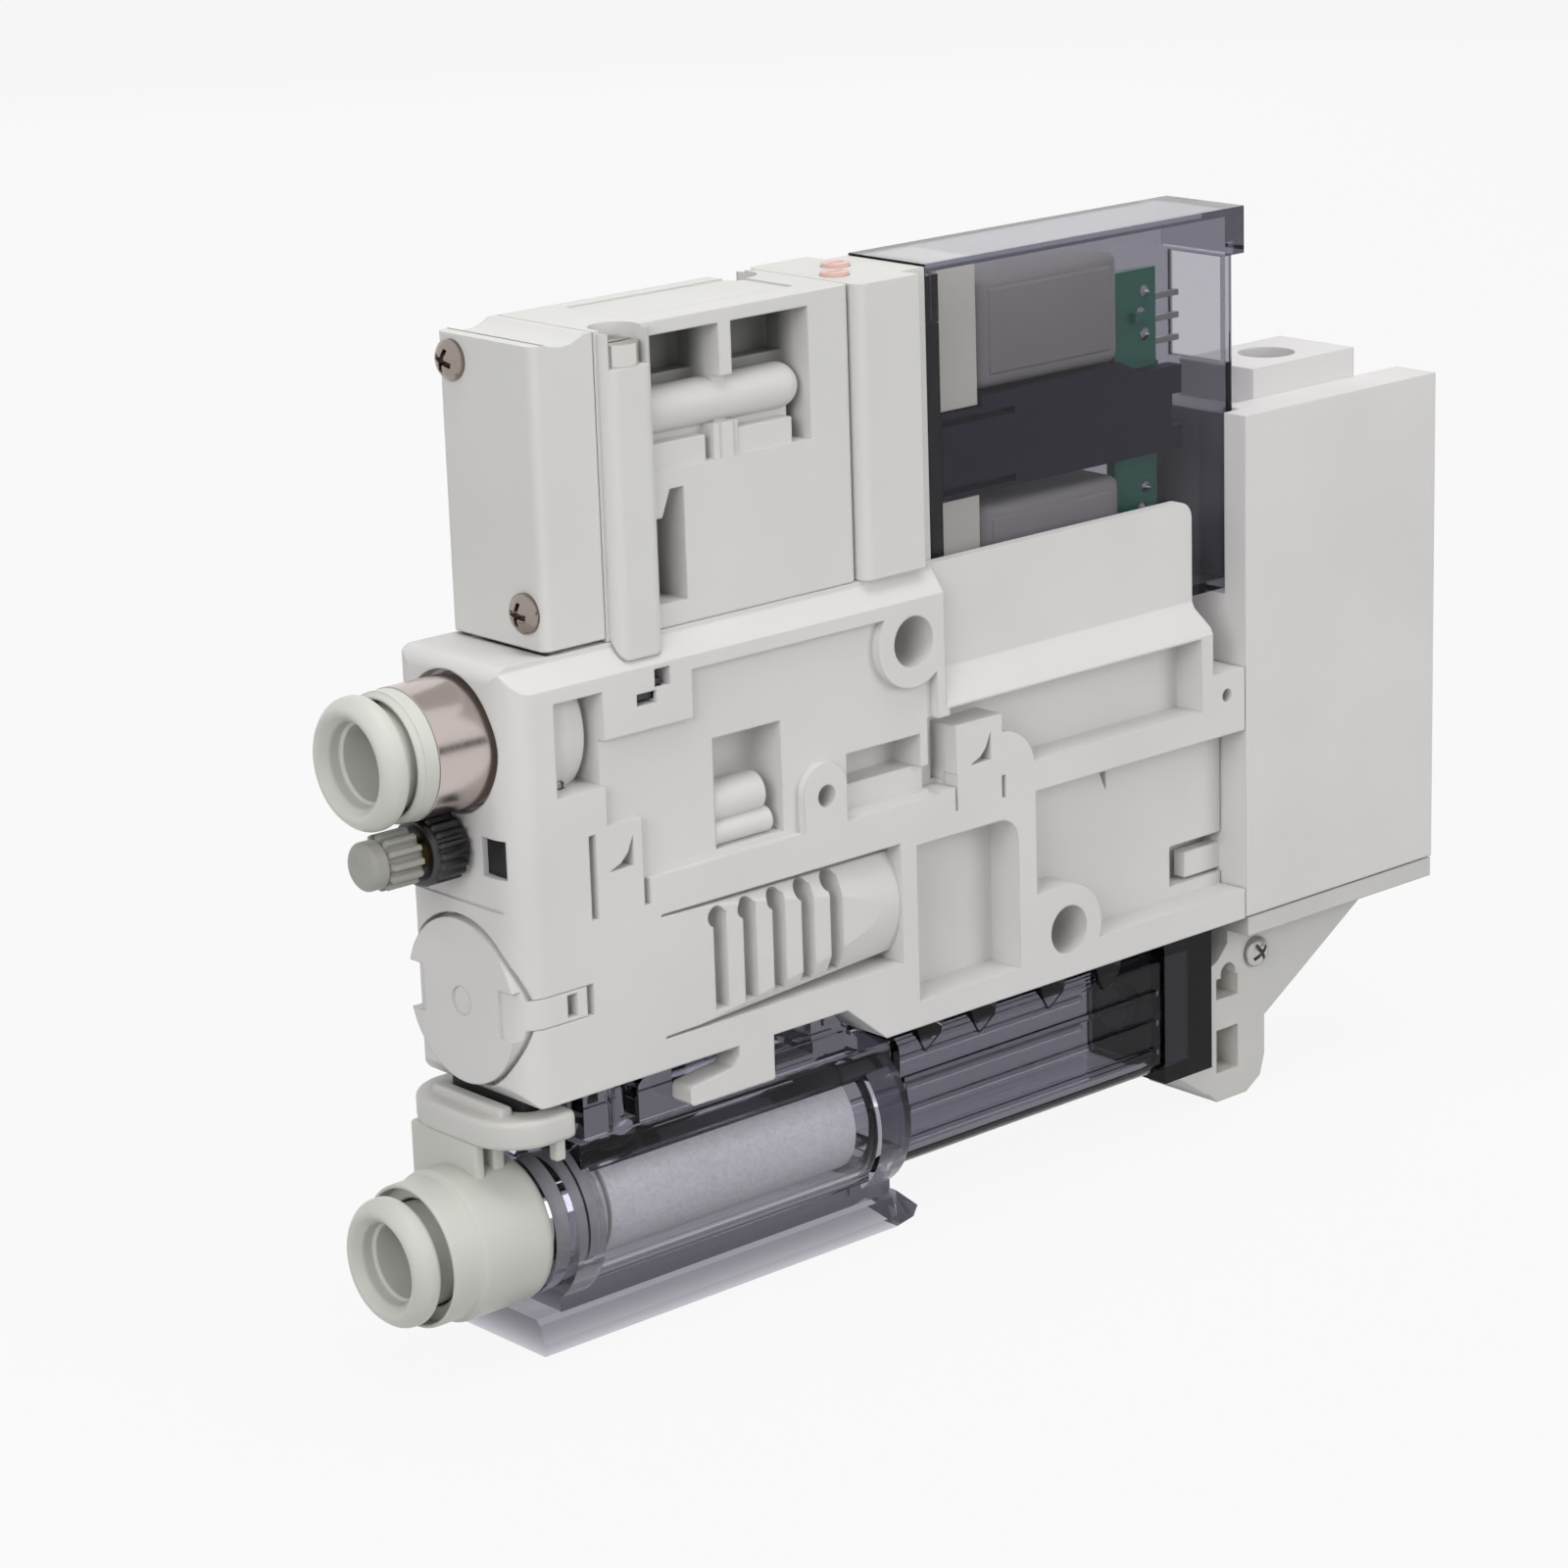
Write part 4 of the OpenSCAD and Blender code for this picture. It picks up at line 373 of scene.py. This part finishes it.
# Grey PA, handled and slightly shiny, so that each rib has a narrow highlight
knob_pa = moulded("moulded_PA_grey", "#A09F99", "#94938D", 0.4, 0.2, edge_mm=0.08)
placed(knob, "needle_knob", "needle_knob", knob_pa)

nut_profile = np.concatenate([
    rounded([(NUT_X0, STEM_R), (NUT_X0, NUT_R - 0.25), (NUT_X0 + 0.2, NUT_R), (NUT_X0 + 0.55, NUT_R)],
            [0, 0.1, 0.1, 0.05]),
    np.stack([np.linspace(NUT_X0 + 0.7, NUT_X1 - 0.2, 24), np.full(24, NUT_R - NUT_RIB)], -1),
    rounded([(NUT_X1, NUT_R - 0.6), (NUT_X1, STEM_R)], [0, 0])])
nut = skinned("lock_nut_knurled", [revolved(nut_profile, NEEDLE_Z, columns=180,
                                            swell=ribs(18, NUT_RIB, NUT_X0 + 0.6, NUT_X1 - 0.15, 0.3))],
              loop=True)
# Blackened steel: dark, with a dull metallic gleam on the knurl's crests
black_steel = metal("blackened_steel", "#4A4A4C", 0.32, 0.2, (1.0, 0.3, 0.3))
placed(nut, "needle_lock_nut", "lock_nut", black_steel)
# Turned brass: a warm yellow between knob and nut when the needle is out
brass = metal("turned_brass", "#B99A5C", 0.3, 0.3, (1.0, 0.05, 0.05))
dress(brass, "needle", "nozzle")

# ---------------------------------------------------------------- seals
# O-rings, lip seals, gaskets and the duct's plug are pressed from black NBR, dull
# and slightly bloomed, so they give almost no highlight.
rubber = moulded("pressed_NBR_rubber", "#1A1A1C", "#141416", 0.65, 0.15)
dress(rubber, "valve_gasket", "supply_tube_seal", "supply_fitting_seal", "end_plug_seal",
      "diffuser_seal", "check_valve", "vacuum_tube_seal", "vacuum_port_seal", "filter_case_seal",
      "pilot_gasket")
# The plug's surface is formed by a polished mould, so it shines a little and looks less black
plug_rubber = moulded("pressed_NBR_polished", "#36343E", "#2E2C36", 0.38, 0.3)
dress(plug_rubber, "duct_plug")

# A black rubber block put where there is only shade: it sits between the clip's arms, under the body's belly
# and before the filter case, and closes the neck so that the gap there shows as painted shade
NECK_GAP = 0.1
neck_low = (clip_low[0] + BOW_W + NECK_GAP, -clip_high[1] + ARM_W + NECK_GAP, leg_z - 0.4)
neck_high = (clip_high[0] + 1.4, clip_high[1] - ARM_W - NECK_GAP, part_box("end_plug")[0].z / MM - 0.6)
neck = skinned("neck_painted_shade", [rounded_block(neck_low, neck_high, 0.5, along=1)])
fitted(neck, "unit", rubber)

# A black rubber block at the bottom of the square hole beside the needle, half a millimetre behind the port
# face: painted shade that makes the deep hole look dark
face_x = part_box("ejector_body")[0].x / MM
pad_low = (face_x + 0.5, -6.05, NEEDLE_Z - 1.95)
pad_high = (face_x + 5.9, -3.45, NEEDLE_Z + 1.15)
pad = skinned("square_hole_painted_shade", [rounded_block(pad_low, pad_high, 0.1)])
fitted(pad, "unit", rubber)

# ---------------------------------------------------------------- valve
# Valve body, end cap and adapter are PBT from another tool: a shade warmer and a
# little smoother, so that their tops catch more light. Ground aluminium spools run
# in them against wire springs, and two pale red POM buttons work them by hand.
VALVE_FINISH = {"colour": "#D6D5D2", "darker": "#D2D1CE", "roughness": 0.46, "grain_mm": 0.3, "edge_mm": 0.25}
valve_pbt = moulded("moulded_PBT_valve", **VALVE_FINISH)
dress(valve_pbt, "valve_end_cap", "pilot_adapter")


def paint_window_shade(material, top_z, open_y=4.2, deep_y=2.2, deep_share=0.32):
    """Painted shade for deep windows: below top_z the base colour is scaled by a share that falls from 1
    where |y| is open_y to deep_share where it is deep_y, both in mm."""
    tree = material.node_tree
    tone_in = tree.nodes["Principled BSDF"].inputs["Base Color"]
    point = add(tree, "ShaderNodeSeparateXYZ", {}, Vector=tree.nodes["Texture Coordinate"].outputs["Object"])
    from_middle = add(tree, "ShaderNodeMath", {"operation": "ABSOLUTE"}, Value=point.outputs["Y"])
    falloff = add(tree, "ShaderNodeMapRange", {"From Min": deep_y * MM, "From Max": open_y * MM,
                                               "To Min": deep_share}, Value=from_middle.outputs["Value"])
    on_top = add(tree, "ShaderNodeMath", {"operation": "GREATER_THAN"}, Value=point.outputs["Z"])
    on_top.inputs[1].default_value = top_z
    share = add(tree, "ShaderNodeMath", {"operation": "MAXIMUM"}, Value=falloff.outputs["Result"])
    tree.links.new(on_top.outputs["Value"], share.inputs[1])
    # painted shade: the base colour is scaled down in the deep windows
    painted_shade_tone = add(tree, "ShaderNodeVectorMath", {"operation": "SCALE"}, Scale=share.outputs["Value"])
    tree.links.new(tone_in.links[0].from_socket, painted_shade_tone.inputs[0])
    tree.links.new(painted_shade_tone.outputs["Vector"], tone_in)


# The same PBT on the valve body, with painted shade that darkens its base colour deep in the windows
valve_pbt_painted_shade = moulded("moulded_PBT_valve_painted_shade", **VALVE_FINISH)
paint_window_shade(valve_pbt_painted_shade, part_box("valve_body")[1].z - 1.0 * MM)
dress(valve_pbt_painted_shade, "valve_body")
# Red POM that light has bleached: a pale pink, slicker than the valve
override_pom = moulded("moulded_POM_pale_red", "#E0BCB2", "#DBB4AA", 0.35, 0.2)
dress(override_pom, "supply_override", "release_override")
# Ground aluminium: bluish grey with fine marks round the lands
aluminium = metal("ground_aluminium", "#B4B6B9", 0.3, 0.3, (1.0, 0.05, 0.05))
dress(aluminium, "supply_spool", "release_spool")


def coil_spring(name, node):
    """A compression spring in the box of its solid. Its wire follows a helix whose advance along X is s - 0.5
    sin(2 pi s) / (2 pi) of its length at share s of its turns, so the end coils lie closed; the section is a
    circle between the radius and the X axis."""
    low, high = (np.array(v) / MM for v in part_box(node))
    wire, turns = 0.4, 6
    coil_r, length = (high[2] - low[2] - wire) / 2, high[0] - low[0]
    s = np.linspace(0, 1, 240)[:, None]
    t = 2 * np.pi * turns * s
    a = np.linspace(0, 2 * np.pi, 12, endpoint=False)[None, :]
    x = low[0] + wire / 2 + (length - wire) * (s - 0.5 * np.sin(2 * np.pi * s) / (2 * np.pi))
    r = coil_r + wire / 2 * np.cos(a)
    rows = np.stack([x + wire / 2 * np.sin(a), r * np.cos(t), (low[2] + high[2]) / 2 + r * np.sin(t)], -1)
    spring = skinned(name, [rows])
    placed(spring, node, "unit", steel)
    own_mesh(spring)


coil_spring("supply_spring_coil", "supply_spring")
coil_spring("release_spring_coil", "release_spring")

# ---------------------------------------------------------------- screws
# The end cap and the bracket are held by pressed pan-head screws with a cross
# recess, the valve by slotted cheese-head screws that run down into square nuts.


def cross_outline(turn, arm, half_width):
    """Radius of a cross at angle t: arm / cos u inside an arm's end, half_width / sin u along its side,
    where u is t folded into the 45 degrees next to an arm."""
    u = np.abs((turn + np.pi / 4) % (np.pi / 2) - np.pi / 4)
    beside_arm = half_width / np.maximum(np.sin(u), 1e-6)
    return np.where(u < np.arctan2(half_width, arm), arm / np.cos(u), beside_arm)


def pan_head_screw(head_r, head_h, shank_r, shank_l, arm, half_width, depth):
    """Rows of one screw along its own axis, head upwards, seat at height 0: shank, seat, rim, and a dome
    of height h (1 - (r / R)^2.4) that blends from a circle into the cross, whose walls taper down to a
    floor at the given depth."""
    corner = np.arctan2(half_width, arm)
    fold = np.array([-np.pi / 4, -0.6, -0.45, -corner - 0.02, -corner, -corner / 2, 0,
                     corner / 2, corner, corner + 0.02, 0.45, 0.6])
    turn = (fold[None, :] + np.arange(4)[:, None] * np.pi / 2).ravel()
    cross = cross_outline(turn, arm, half_width)
    even = np.ones_like(turn)
    rim_h = 0.35 * head_h
    stack = [(shank_r * 0.5 * even, -shank_l * even), (shank_r * even, (0.3 - shank_l) * even),
             (shank_r * even, 0 * even), (head_r * even, 0 * even), (head_r * even, rim_h * 0.7 * even)]
    for mix in np.linspace(0, 1, 9):
        r = (1 - mix) * head_r * 0.985 * even + mix * cross
        stack.append((r, rim_h + (head_h - rim_h) * (1 - (r / head_r) ** 2.4)))
    top = stack[-1][1]
    stack += [(cross * 0.97, top - 0.06), (cross * 0.85, top - depth * 0.8), (cross * 0.55, top - depth)]
    return np.stack([np.stack([r * np.cos(turn), r * np.sin(turn), h], -1) for r, h in stack])


def driven(rows, seat, towards, spin):
    """Turns a screw's rows by spin about its axis, and points them towards -X or -Y from its seat."""
    p = rows[..., 0] * np.cos(spin) - rows[..., 1] * np.sin(spin)
    q = rows[..., 0] * np.sin(spin) + rows[..., 1] * np.cos(spin)
    h = rows[..., 2]
    if towards == "X":
        return np.stack([seat[0] - h, seat[1] + p, seat[2] + q], -1)
    return np.stack([seat[0] + p, seat[1] - h, seat[2] + q], -1)


cap_low, cap_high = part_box("end_cap_screws")
cap_seat_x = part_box("valve_end_cap")[0].x / MM
CAP_R = 1.65
cap_rows = pan_head_screw(CAP_R, 1.15, 0.8, cap_high.x / MM - cap_seat_x, 1.0, 0.24, 0.75)
cap_screws = skinned("cap_screw_pair", [
    driven(cap_rows, (cap_seat_x, cap_high.y / MM - CAP_R, cap_high.z / MM - CAP_R), "X", 0.35),
    driven(cap_rows, (cap_seat_x, cap_low.y / MM + CAP_R, cap_low.z / MM + CAP_R), "X", 0.15)])
# Passivated steel, pressed and tumbled: bright crests and dark brownish recesses
passivated = metal("passivated_steel_screw", "#9A8F88", 0.2, 0.3, (1.0, 1.0, 1.0))
placed(cap_screws, "end_cap_screws", "unit", passivated)

tail_low, tail_high = (np.array(v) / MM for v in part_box("bracket_screw"))
TAIL_R, TAIL_HEAD = 1.45, 1.0
tail_rows = pan_head_screw(TAIL_R, TAIL_HEAD, 0.7, tail_high[1] - tail_low[1] - TAIL_HEAD, 1.0, 0.2, 0.7)
tail_seat = ((tail_low[0] + tail_high[0]) / 2, tail_low[1] + TAIL_HEAD, (tail_low[2] + tail_high[2]) / 2)
tail_screw = skinned("tail_screw", [driven(tail_rows, tail_seat, "Y", 0.6)])
placed(tail_screw, "bracket_screw", "unit", steel)
# Bright nickel on the valve's screws: the brightest metal, seen in the notches of the pillars
bright_nickel = metal("bright_nickel_screw", "#D6D4D1", 0.16, 0.3, (1.0, 1.0, 1.0))
dress(bright_nickel, "valve_screws")
dress(black_steel, "valve_screw_nuts")

# ---------------------------------------------------------------- clear smoke mouldings
# Filter case, suction duct and pilot cover are smoke-tinted polycarbonate, polished
# in the tool: the tint sits in the bulk, so thin walls are pale and edges go dark.


def smoke(name, tint, density, wall):
    """Tinted clear plastic: light bends at its faces, keeps the share that wall gives at each wall it
    crosses, and is absorbed by depth, density per metre. Its faces mirror little, flow marks swirl_mm
    across vary their gloss, and light from the lamps goes straight through to what it covers."""
    material, tree, shader, place = new_material(name)
    swirl_mm = 6
    shader.inputs["Base Color"].default_value = linear(wall)
    shader.inputs["Specular Tint"].default_value = linear("#868686")
    shader.inputs["Transmission Weight"].default_value = 1.0
    shader.inputs["IOR"].default_value = 1.45
    swirl = add(tree, "ShaderNodeTexNoise", {"Scale": 1 / (swirl_mm * MM), "Detail": 2.0}, Vector=place)
    gloss = add(tree, "ShaderNodeMapRange", {"To Min": 0.02, "To Max": 0.08}, Value=swirl.outputs["Fac"])
    tree.links.new(gloss.outputs["Result"], shader.inputs["Roughness"])
    bulk = add(tree, "ShaderNodeVolumeAbsorption", {"Color": linear(tint), "Density": density})
    tree.links.new(bulk.outputs["Volume"], tree.nodes["Material Output"].inputs["Volume"])
    rays = add(tree, "ShaderNodeLightPath")
    lit = add(tree, "ShaderNodeMixShader", {}, Fac=rays.outputs["Is Shadow Ray"])
    tree.links.new(shader.outputs["BSDF"], lit.inputs[1])
    tree.links.new(add(tree, "ShaderNodeBsdfTransparent").outputs["BSDF"], lit.inputs[2])
    tree.links.new(lit.outputs["Shader"], tree.nodes["Material Output"].inputs["Surface"])
    return material


# Smoke PC: the grey has a little violet in it, and it shows what lies behind. The duct is tinted
# deeply, the cover less, and the filter case least, so that the element stays in sight
smoke_pc = smoke("clear_polycarbonate_smoke", "#7F7D8C", 580.0, "#CDCCD3")
dress(smoke_pc, "suction_duct")
cover_pc = smoke("clear_polycarbonate_cover", "#7C7A8E", 210.0, "#C4C3CA")
dress(cover_pc, "pilot_cover")
CASE_WALL, FOOT_WALL = "#C9C8D0", "#A09FA9"
pale_pc = smoke("clear_polycarbonate_pale_smoke", "#7F7D8C", 170.0, CASE_WALL)
dress(pale_pc, "filter_case")
# The case's foot is the thick part of its moulding, so the tint deepens from 4 mm down to 2 mm
tree = pale_pc.node_tree
point = add(tree, "ShaderNodeSeparateXYZ", {}, Vector=tree.nodes["Texture Coordinate"].outputs["Object"])
level = add(tree, "ShaderNodeMapRange", {"From Min": 2.0 * MM, "From Max": 4.0 * MM},
            Value=point.outputs["Z"])
foot_tone = add(tree, "ShaderNodeValToRGB", {}, Fac=level.outputs["Result"])
foot_tone.color_ramp.elements[0].color = linear(FOOT_WALL)
foot_tone.color_ramp.elements[1].color = linear(CASE_WALL)
tree.links.new(foot_tone.outputs["Color"], tree.nodes["Principled BSDF"].inputs["Base Color"])
# Clear acrylic: without tint, it only bends what is behind it
clear_pmma = smoke("clear_acrylic", "#F2F4F6", 50.0, "#FFFFFF")
dress(clear_pmma, "light_guide")

# ---------------------------------------------------------------- felts
# Filter, silencer and absorber are pressed PVF fibre, white and dull, with strands
# that can just be told apart.


def fibre(name, colour, darker, strand_mm):
    """Pressed fibre: tangled strands strand_mm across, in colour and in relief. They are drawn as tufts,
    since a single strand of 0.03 mm is too fine to show."""
    material, tree, shader, place = new_material(name)
    tangle = add(tree, "ShaderNodeTexNoise", {"Scale": 1 / (strand_mm * MM), "Detail": 4.0,
                                             "Distortion": 1.5}, Vector=place)
    tone = add(tree, "ShaderNodeValToRGB", {}, Fac=tangle.outputs["Fac"])
    tone.color_ramp.elements[0].position = 0.3
    tone.color_ramp.elements[0].color = linear(darker)
    tone.color_ramp.elements[1].position = 0.6
    tone.color_ramp.elements[1].color = linear(colour)
    tree.links.new(tone.outputs["Color"], shader.inputs["Base Color"])
    shader.inputs["Roughness"].default_value = 0.9
    bump = add(tree, "ShaderNodeBump", {"Strength": 0.6, "Distance": 0.1 * MM}, Height=tangle.outputs["Fac"])
    tree.links.new(bump.outputs["Normal"], shader.inputs["Normal"])
    return material


# Pressed PVF fibre: near white and dull, it takes the case's tint when seen through it
felt = fibre("pressed_PVF_felt", "#F0EFEB", "#E2E0DA", 0.6)
dress(felt, "filter_element", "silencer_element", "absorber_sleeve")

# ---------------------------------------------------------------- pilot group
# Two solenoids stand behind the cover: cream nylon bobbins, drawn steel cans over
# the windings, a dark terminal rail between them and a green circuit board.

# Natural nylon: cream, semi-matt
cream_pa = moulded("moulded_PA_cream", "#EEECD9", "#E6E4D0", 0.5, 0.3)
dress(cream_pa, "supply_bobbin", "release_bobbin")
# Drawn steel with a dull zinc finish: warm grey, with soft edges and no clear reflections
can_steel = metal("drawn_steel_can", "#A3A09C", 0.5, 0.5, (1.0, 0.1, 0.1))
can_steel.node_tree.nodes["Principled BSDF"].inputs["Metallic"].default_value = 0.35


def drawn_can(name, node):
    """A can drawn from sheet: a block in the box of its solid with edges rounded by edge_r, and on both
    flanks a panel that stands out by raised and keeps off the edges by border."""
    low, high = (np.array(v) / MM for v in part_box(node))
    edge_r, raised, border = 1.0, 0.12, 1.2
    block = rounded_block(low + (0, raised, 0), high - (0, raised, 0), edge_r)
    panel = rounded_block(low + (border, 0, border), high - (border, 0, border), 0.25)
    can = skinned(name, [block, panel])
    placed(can, node, "unit", can_steel)


drawn_can("supply_can_drawn", "supply_can")
drawn_can("release_can_drawn", "release_can")
dress(steel, "supply_plunger", "release_plunger")
# Tinned bronze: pale, slightly yellow wires
tin_pins = metal("tinned_bronze_pins", "#B9B7B2", 0.3, 0.3, (1.0, 0.1, 0.1))
dress(tin_pins, "connector_pins")
# Near-black PBT with a violet cast, and smooth, so the cover's shine lies over an even dark
rail_pbt = moulded("moulded_PBT_dark", "#1D1A2E", "#181527", 0.6, 1.2, depth=0.03)
dress(rail_pbt, "terminal_holder")
# Solder mask: green lacquer, glossy and even
mask_green = moulded("solder_mask_green", "#30705D", "#296351", 0.3, 1.5, depth=0.03)
dress(mask_green, "circuit_board")

# Solder joints on the side of the board that faces out: bright tin cones where the coil leads end
board_low = np.array(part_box("circuit_board")[0]) / MM


def solder_joint(x, z, r, h):
    """Rows of one joint that stands out along -Y from the board: radius r (1 - s)^1.5 + 0.12 at
    height h s."""
    s = np.linspace(0, 1, 9)[:, None]
    t = np.linspace(0, 2 * np.pi, 24, endpoint=False)[None, :]
    reach = r * (1 - s) ** 1.5 + 0.12
    face = board_low[1] + 0.7
    return np.stack([x + reach * np.cos(t), face - h * s + 0 * t, z + reach * np.sin(t)], -1)


joint_z = np.array([1.5, 3.4, 5.3, 19.0, 20.9, 22.8]) + board_low[2]
joint_x = board_low[0] + np.array([3.9, 3.4, 3.9, 3.9, 3.4, 3.9])
JOINT_R, JOINT_H = 0.5, 0.55
solder = skinned("solder_joints", [solder_joint(x, z, JOINT_R, JOINT_H) for x, z in zip(joint_x, joint_z)])
# Tin solder: the only bright dots on the board
tin = metal("tin_solder", "#C9CBCC", 0.2, 0.5, (1.0, 1.0, 1.0))
fitted(solder, "unit", tin)
# Enamelled copper: dark orange windings inside the cans
copper = metal("enamelled_copper", "#9A5A2C", 0.3, 0.25, (1.0, 0.1, 0.1))
dress(copper, "supply_coil", "release_coil")

# ---------------------------------------------------------------- floor, lights and camera
# A pale floor, soft lights overhead, at both front sides and behind, and an even
# white surround, at a level where a colour comes out about as it is written.


def stage_quad(name, corners, paint, colour, roughness):
    """A flat backdrop piece with corners in metres and its paint; returns its object, tree and shader."""
    mesh = bpy.data.meshes.new(name)
    mesh.from_pydata(np.asarray(corners).tolist(), [], [(0, 1, 2, 3)])
    quad = bpy.data.objects.new(name, mesh)
    bpy.context.scene.collection.objects.link(quad)
    material, tree, shader, _ = new_material(paint)
    shader.inputs["Base Color"].default_value = linear(colour)
    shader.inputs["Roughness"].default_value = roughness
    mesh.materials.append(material)
    return quad, tree, shader


def seen_directly(tree):
    """1 for camera, glossy and transmission rays, 0 for the rays that light other things."""
    rays = add(tree, "ShaderNodeLightPath")
    seen = add(tree, "ShaderNodeMath", {"operation": "MAXIMUM"})
    seen_more = add(tree, "ShaderNodeMath", {"operation": "MAXIMUM"})
    tree.links.new(rays.outputs["Is Camera Ray"], seen.inputs[0])
    tree.links.new(rays.outputs["Is Glossy Ray"], seen.inputs[1])
    tree.links.new(seen.outputs[0], seen_more.inputs[0])
    tree.links.new(rays.outputs["Is Transmission Ray"], seen_more.inputs[1])
    return seen_more.outputs[0]


# The floor is mostly lit from within, so it comes out white and keeps the part's soft shadow
GLOW_SHARE = 0.9
FLOOR_HALF = 3.0  # in metres
floor_corners = np.array([(-1, -1, 0), (1, -1, 0), (1, 1, 0), (-1, 1, 0)]) * FLOOR_HALF
_, tree, shader = stage_quad("floor", floor_corners, "white_floor", "#BCBCBC", 0.9)
glow = add(tree, "ShaderNodeEmission", {"Color": (1, 1, 1, 1), "Strength": 1.0})
share = add(tree, "ShaderNodeMath", {"operation": "MULTIPLY"})
tree.links.new(seen_directly(tree), share.inputs[0])
share.inputs[1].default_value = GLOW_SHARE
both = add(tree, "ShaderNodeMixShader", {}, Fac=share.outputs[0])
tree.links.new(shader.outputs["BSDF"], both.inputs[1])
tree.links.new(glow.outputs["Emission"], both.inputs[2])
tree.links.new(both.outputs["Shader"], tree.nodes["Material Output"].inputs["Surface"])

world = bpy.data.worlds.new("surround")
bpy.context.scene.world = world
world.use_nodes = True
tree = world.node_tree
sky = tree.nodes["Background"]
SKY_LIGHT = 0.27
level = add(tree, "ShaderNodeMapRange", {"To Min": SKY_LIGHT, "To Max": 1.0}, Value=seen_directly(tree))
tree.links.new(level.outputs["Result"], sky.inputs["Strength"])
sky.inputs["Color"].default_value = (1, 1, 1, 1)


def softbox(name, at, look_at, width, power):
    """A square area lamp that reflections don't show: its -Z axis points from at to look_at, in mm."""
    lamp = bpy.data.lights.new(name, "AREA")
    lamp.shape = "SQUARE"
    lamp.size = width * MM
    lamp.energy = power
    lamp_object = bpy.data.objects.new(name, lamp)
    bpy.context.scene.collection.objects.link(lamp_object)
    lamp_object.location = Vector(at) * MM
    lamp_object.rotation_euler = (Vector(look_at) - Vector(at)).to_track_quat("-Z", "Y").to_euler()
    lamp_object.visible_glossy = False


# A black cloth on a low frame at the front right: only reflections see it, and it
# draws the dark line along turned metal
FLAG_HALF, FLAG_AWAY, FLAG_FOOT, FLAG_TALL = 450, 520, 62, 92
flag_across = np.array([0.76, 0.65, 0.0]) * FLAG_HALF
flag_foot = np.array([0.65, -0.76, 0.0]) * FLAG_AWAY + (0, 0, FLAG_FOOT)
flag_top = flag_foot + (0, 0, FLAG_TALL)
flag_corners = np.stack([flag_foot - flag_across, flag_foot + flag_across,
                         flag_top + flag_across, flag_top - flag_across]) * MM
flag = stage_quad("black_flag", flag_corners, "black_flag_cloth", "#1C1A1A", 1.0)[0]
flag.visible_camera = False
flag.visible_diffuse = False
flag.visible_transmission = False
flag.visible_shadow = False
flag.visible_volume_scatter = False

CENTRE = (28, 0, 42)
softbox("softbox_above", (0, -60, 700), CENTRE, 420, 2.5)
softbox("softbox_front_left", (-620, -300, 350), CENTRE, 380, 2.5)
softbox("softbox_front_right", (330, -650, 300), CENTRE, 380, 1.9)
softbox("softbox_behind", (420, 600, 320), CENTRE, 500, 0.9)

camera_data = bpy.data.cameras.new("camera")
camera_data.sensor_width = 36
camera_data.lens = 100.97
camera_data.clip_start = 0.01
camera_data.clip_end = 20
camera = bpy.data.objects.new("camera", camera_data)
bpy.context.scene.collection.objects.link(camera)
# The camera's own axes and its place, in the part's frame
right = Vector((0.747806, -0.663143, -0.032045))
up = Vector((0.208995, 0.189315, 0.959417))
back = Vector((-0.630165, -0.724155, 0.280164))
camera_at = Vector((-220.92, -268.53, 144.45)) * MM
turn = Matrix((right, up, back)).transposed().to_4x4()
camera.matrix_world = Matrix.Translation(camera_at) @ turn
bpy.context.scene.camera = camera
bpy.context.scene.view_settings.view_transform = "Standard"
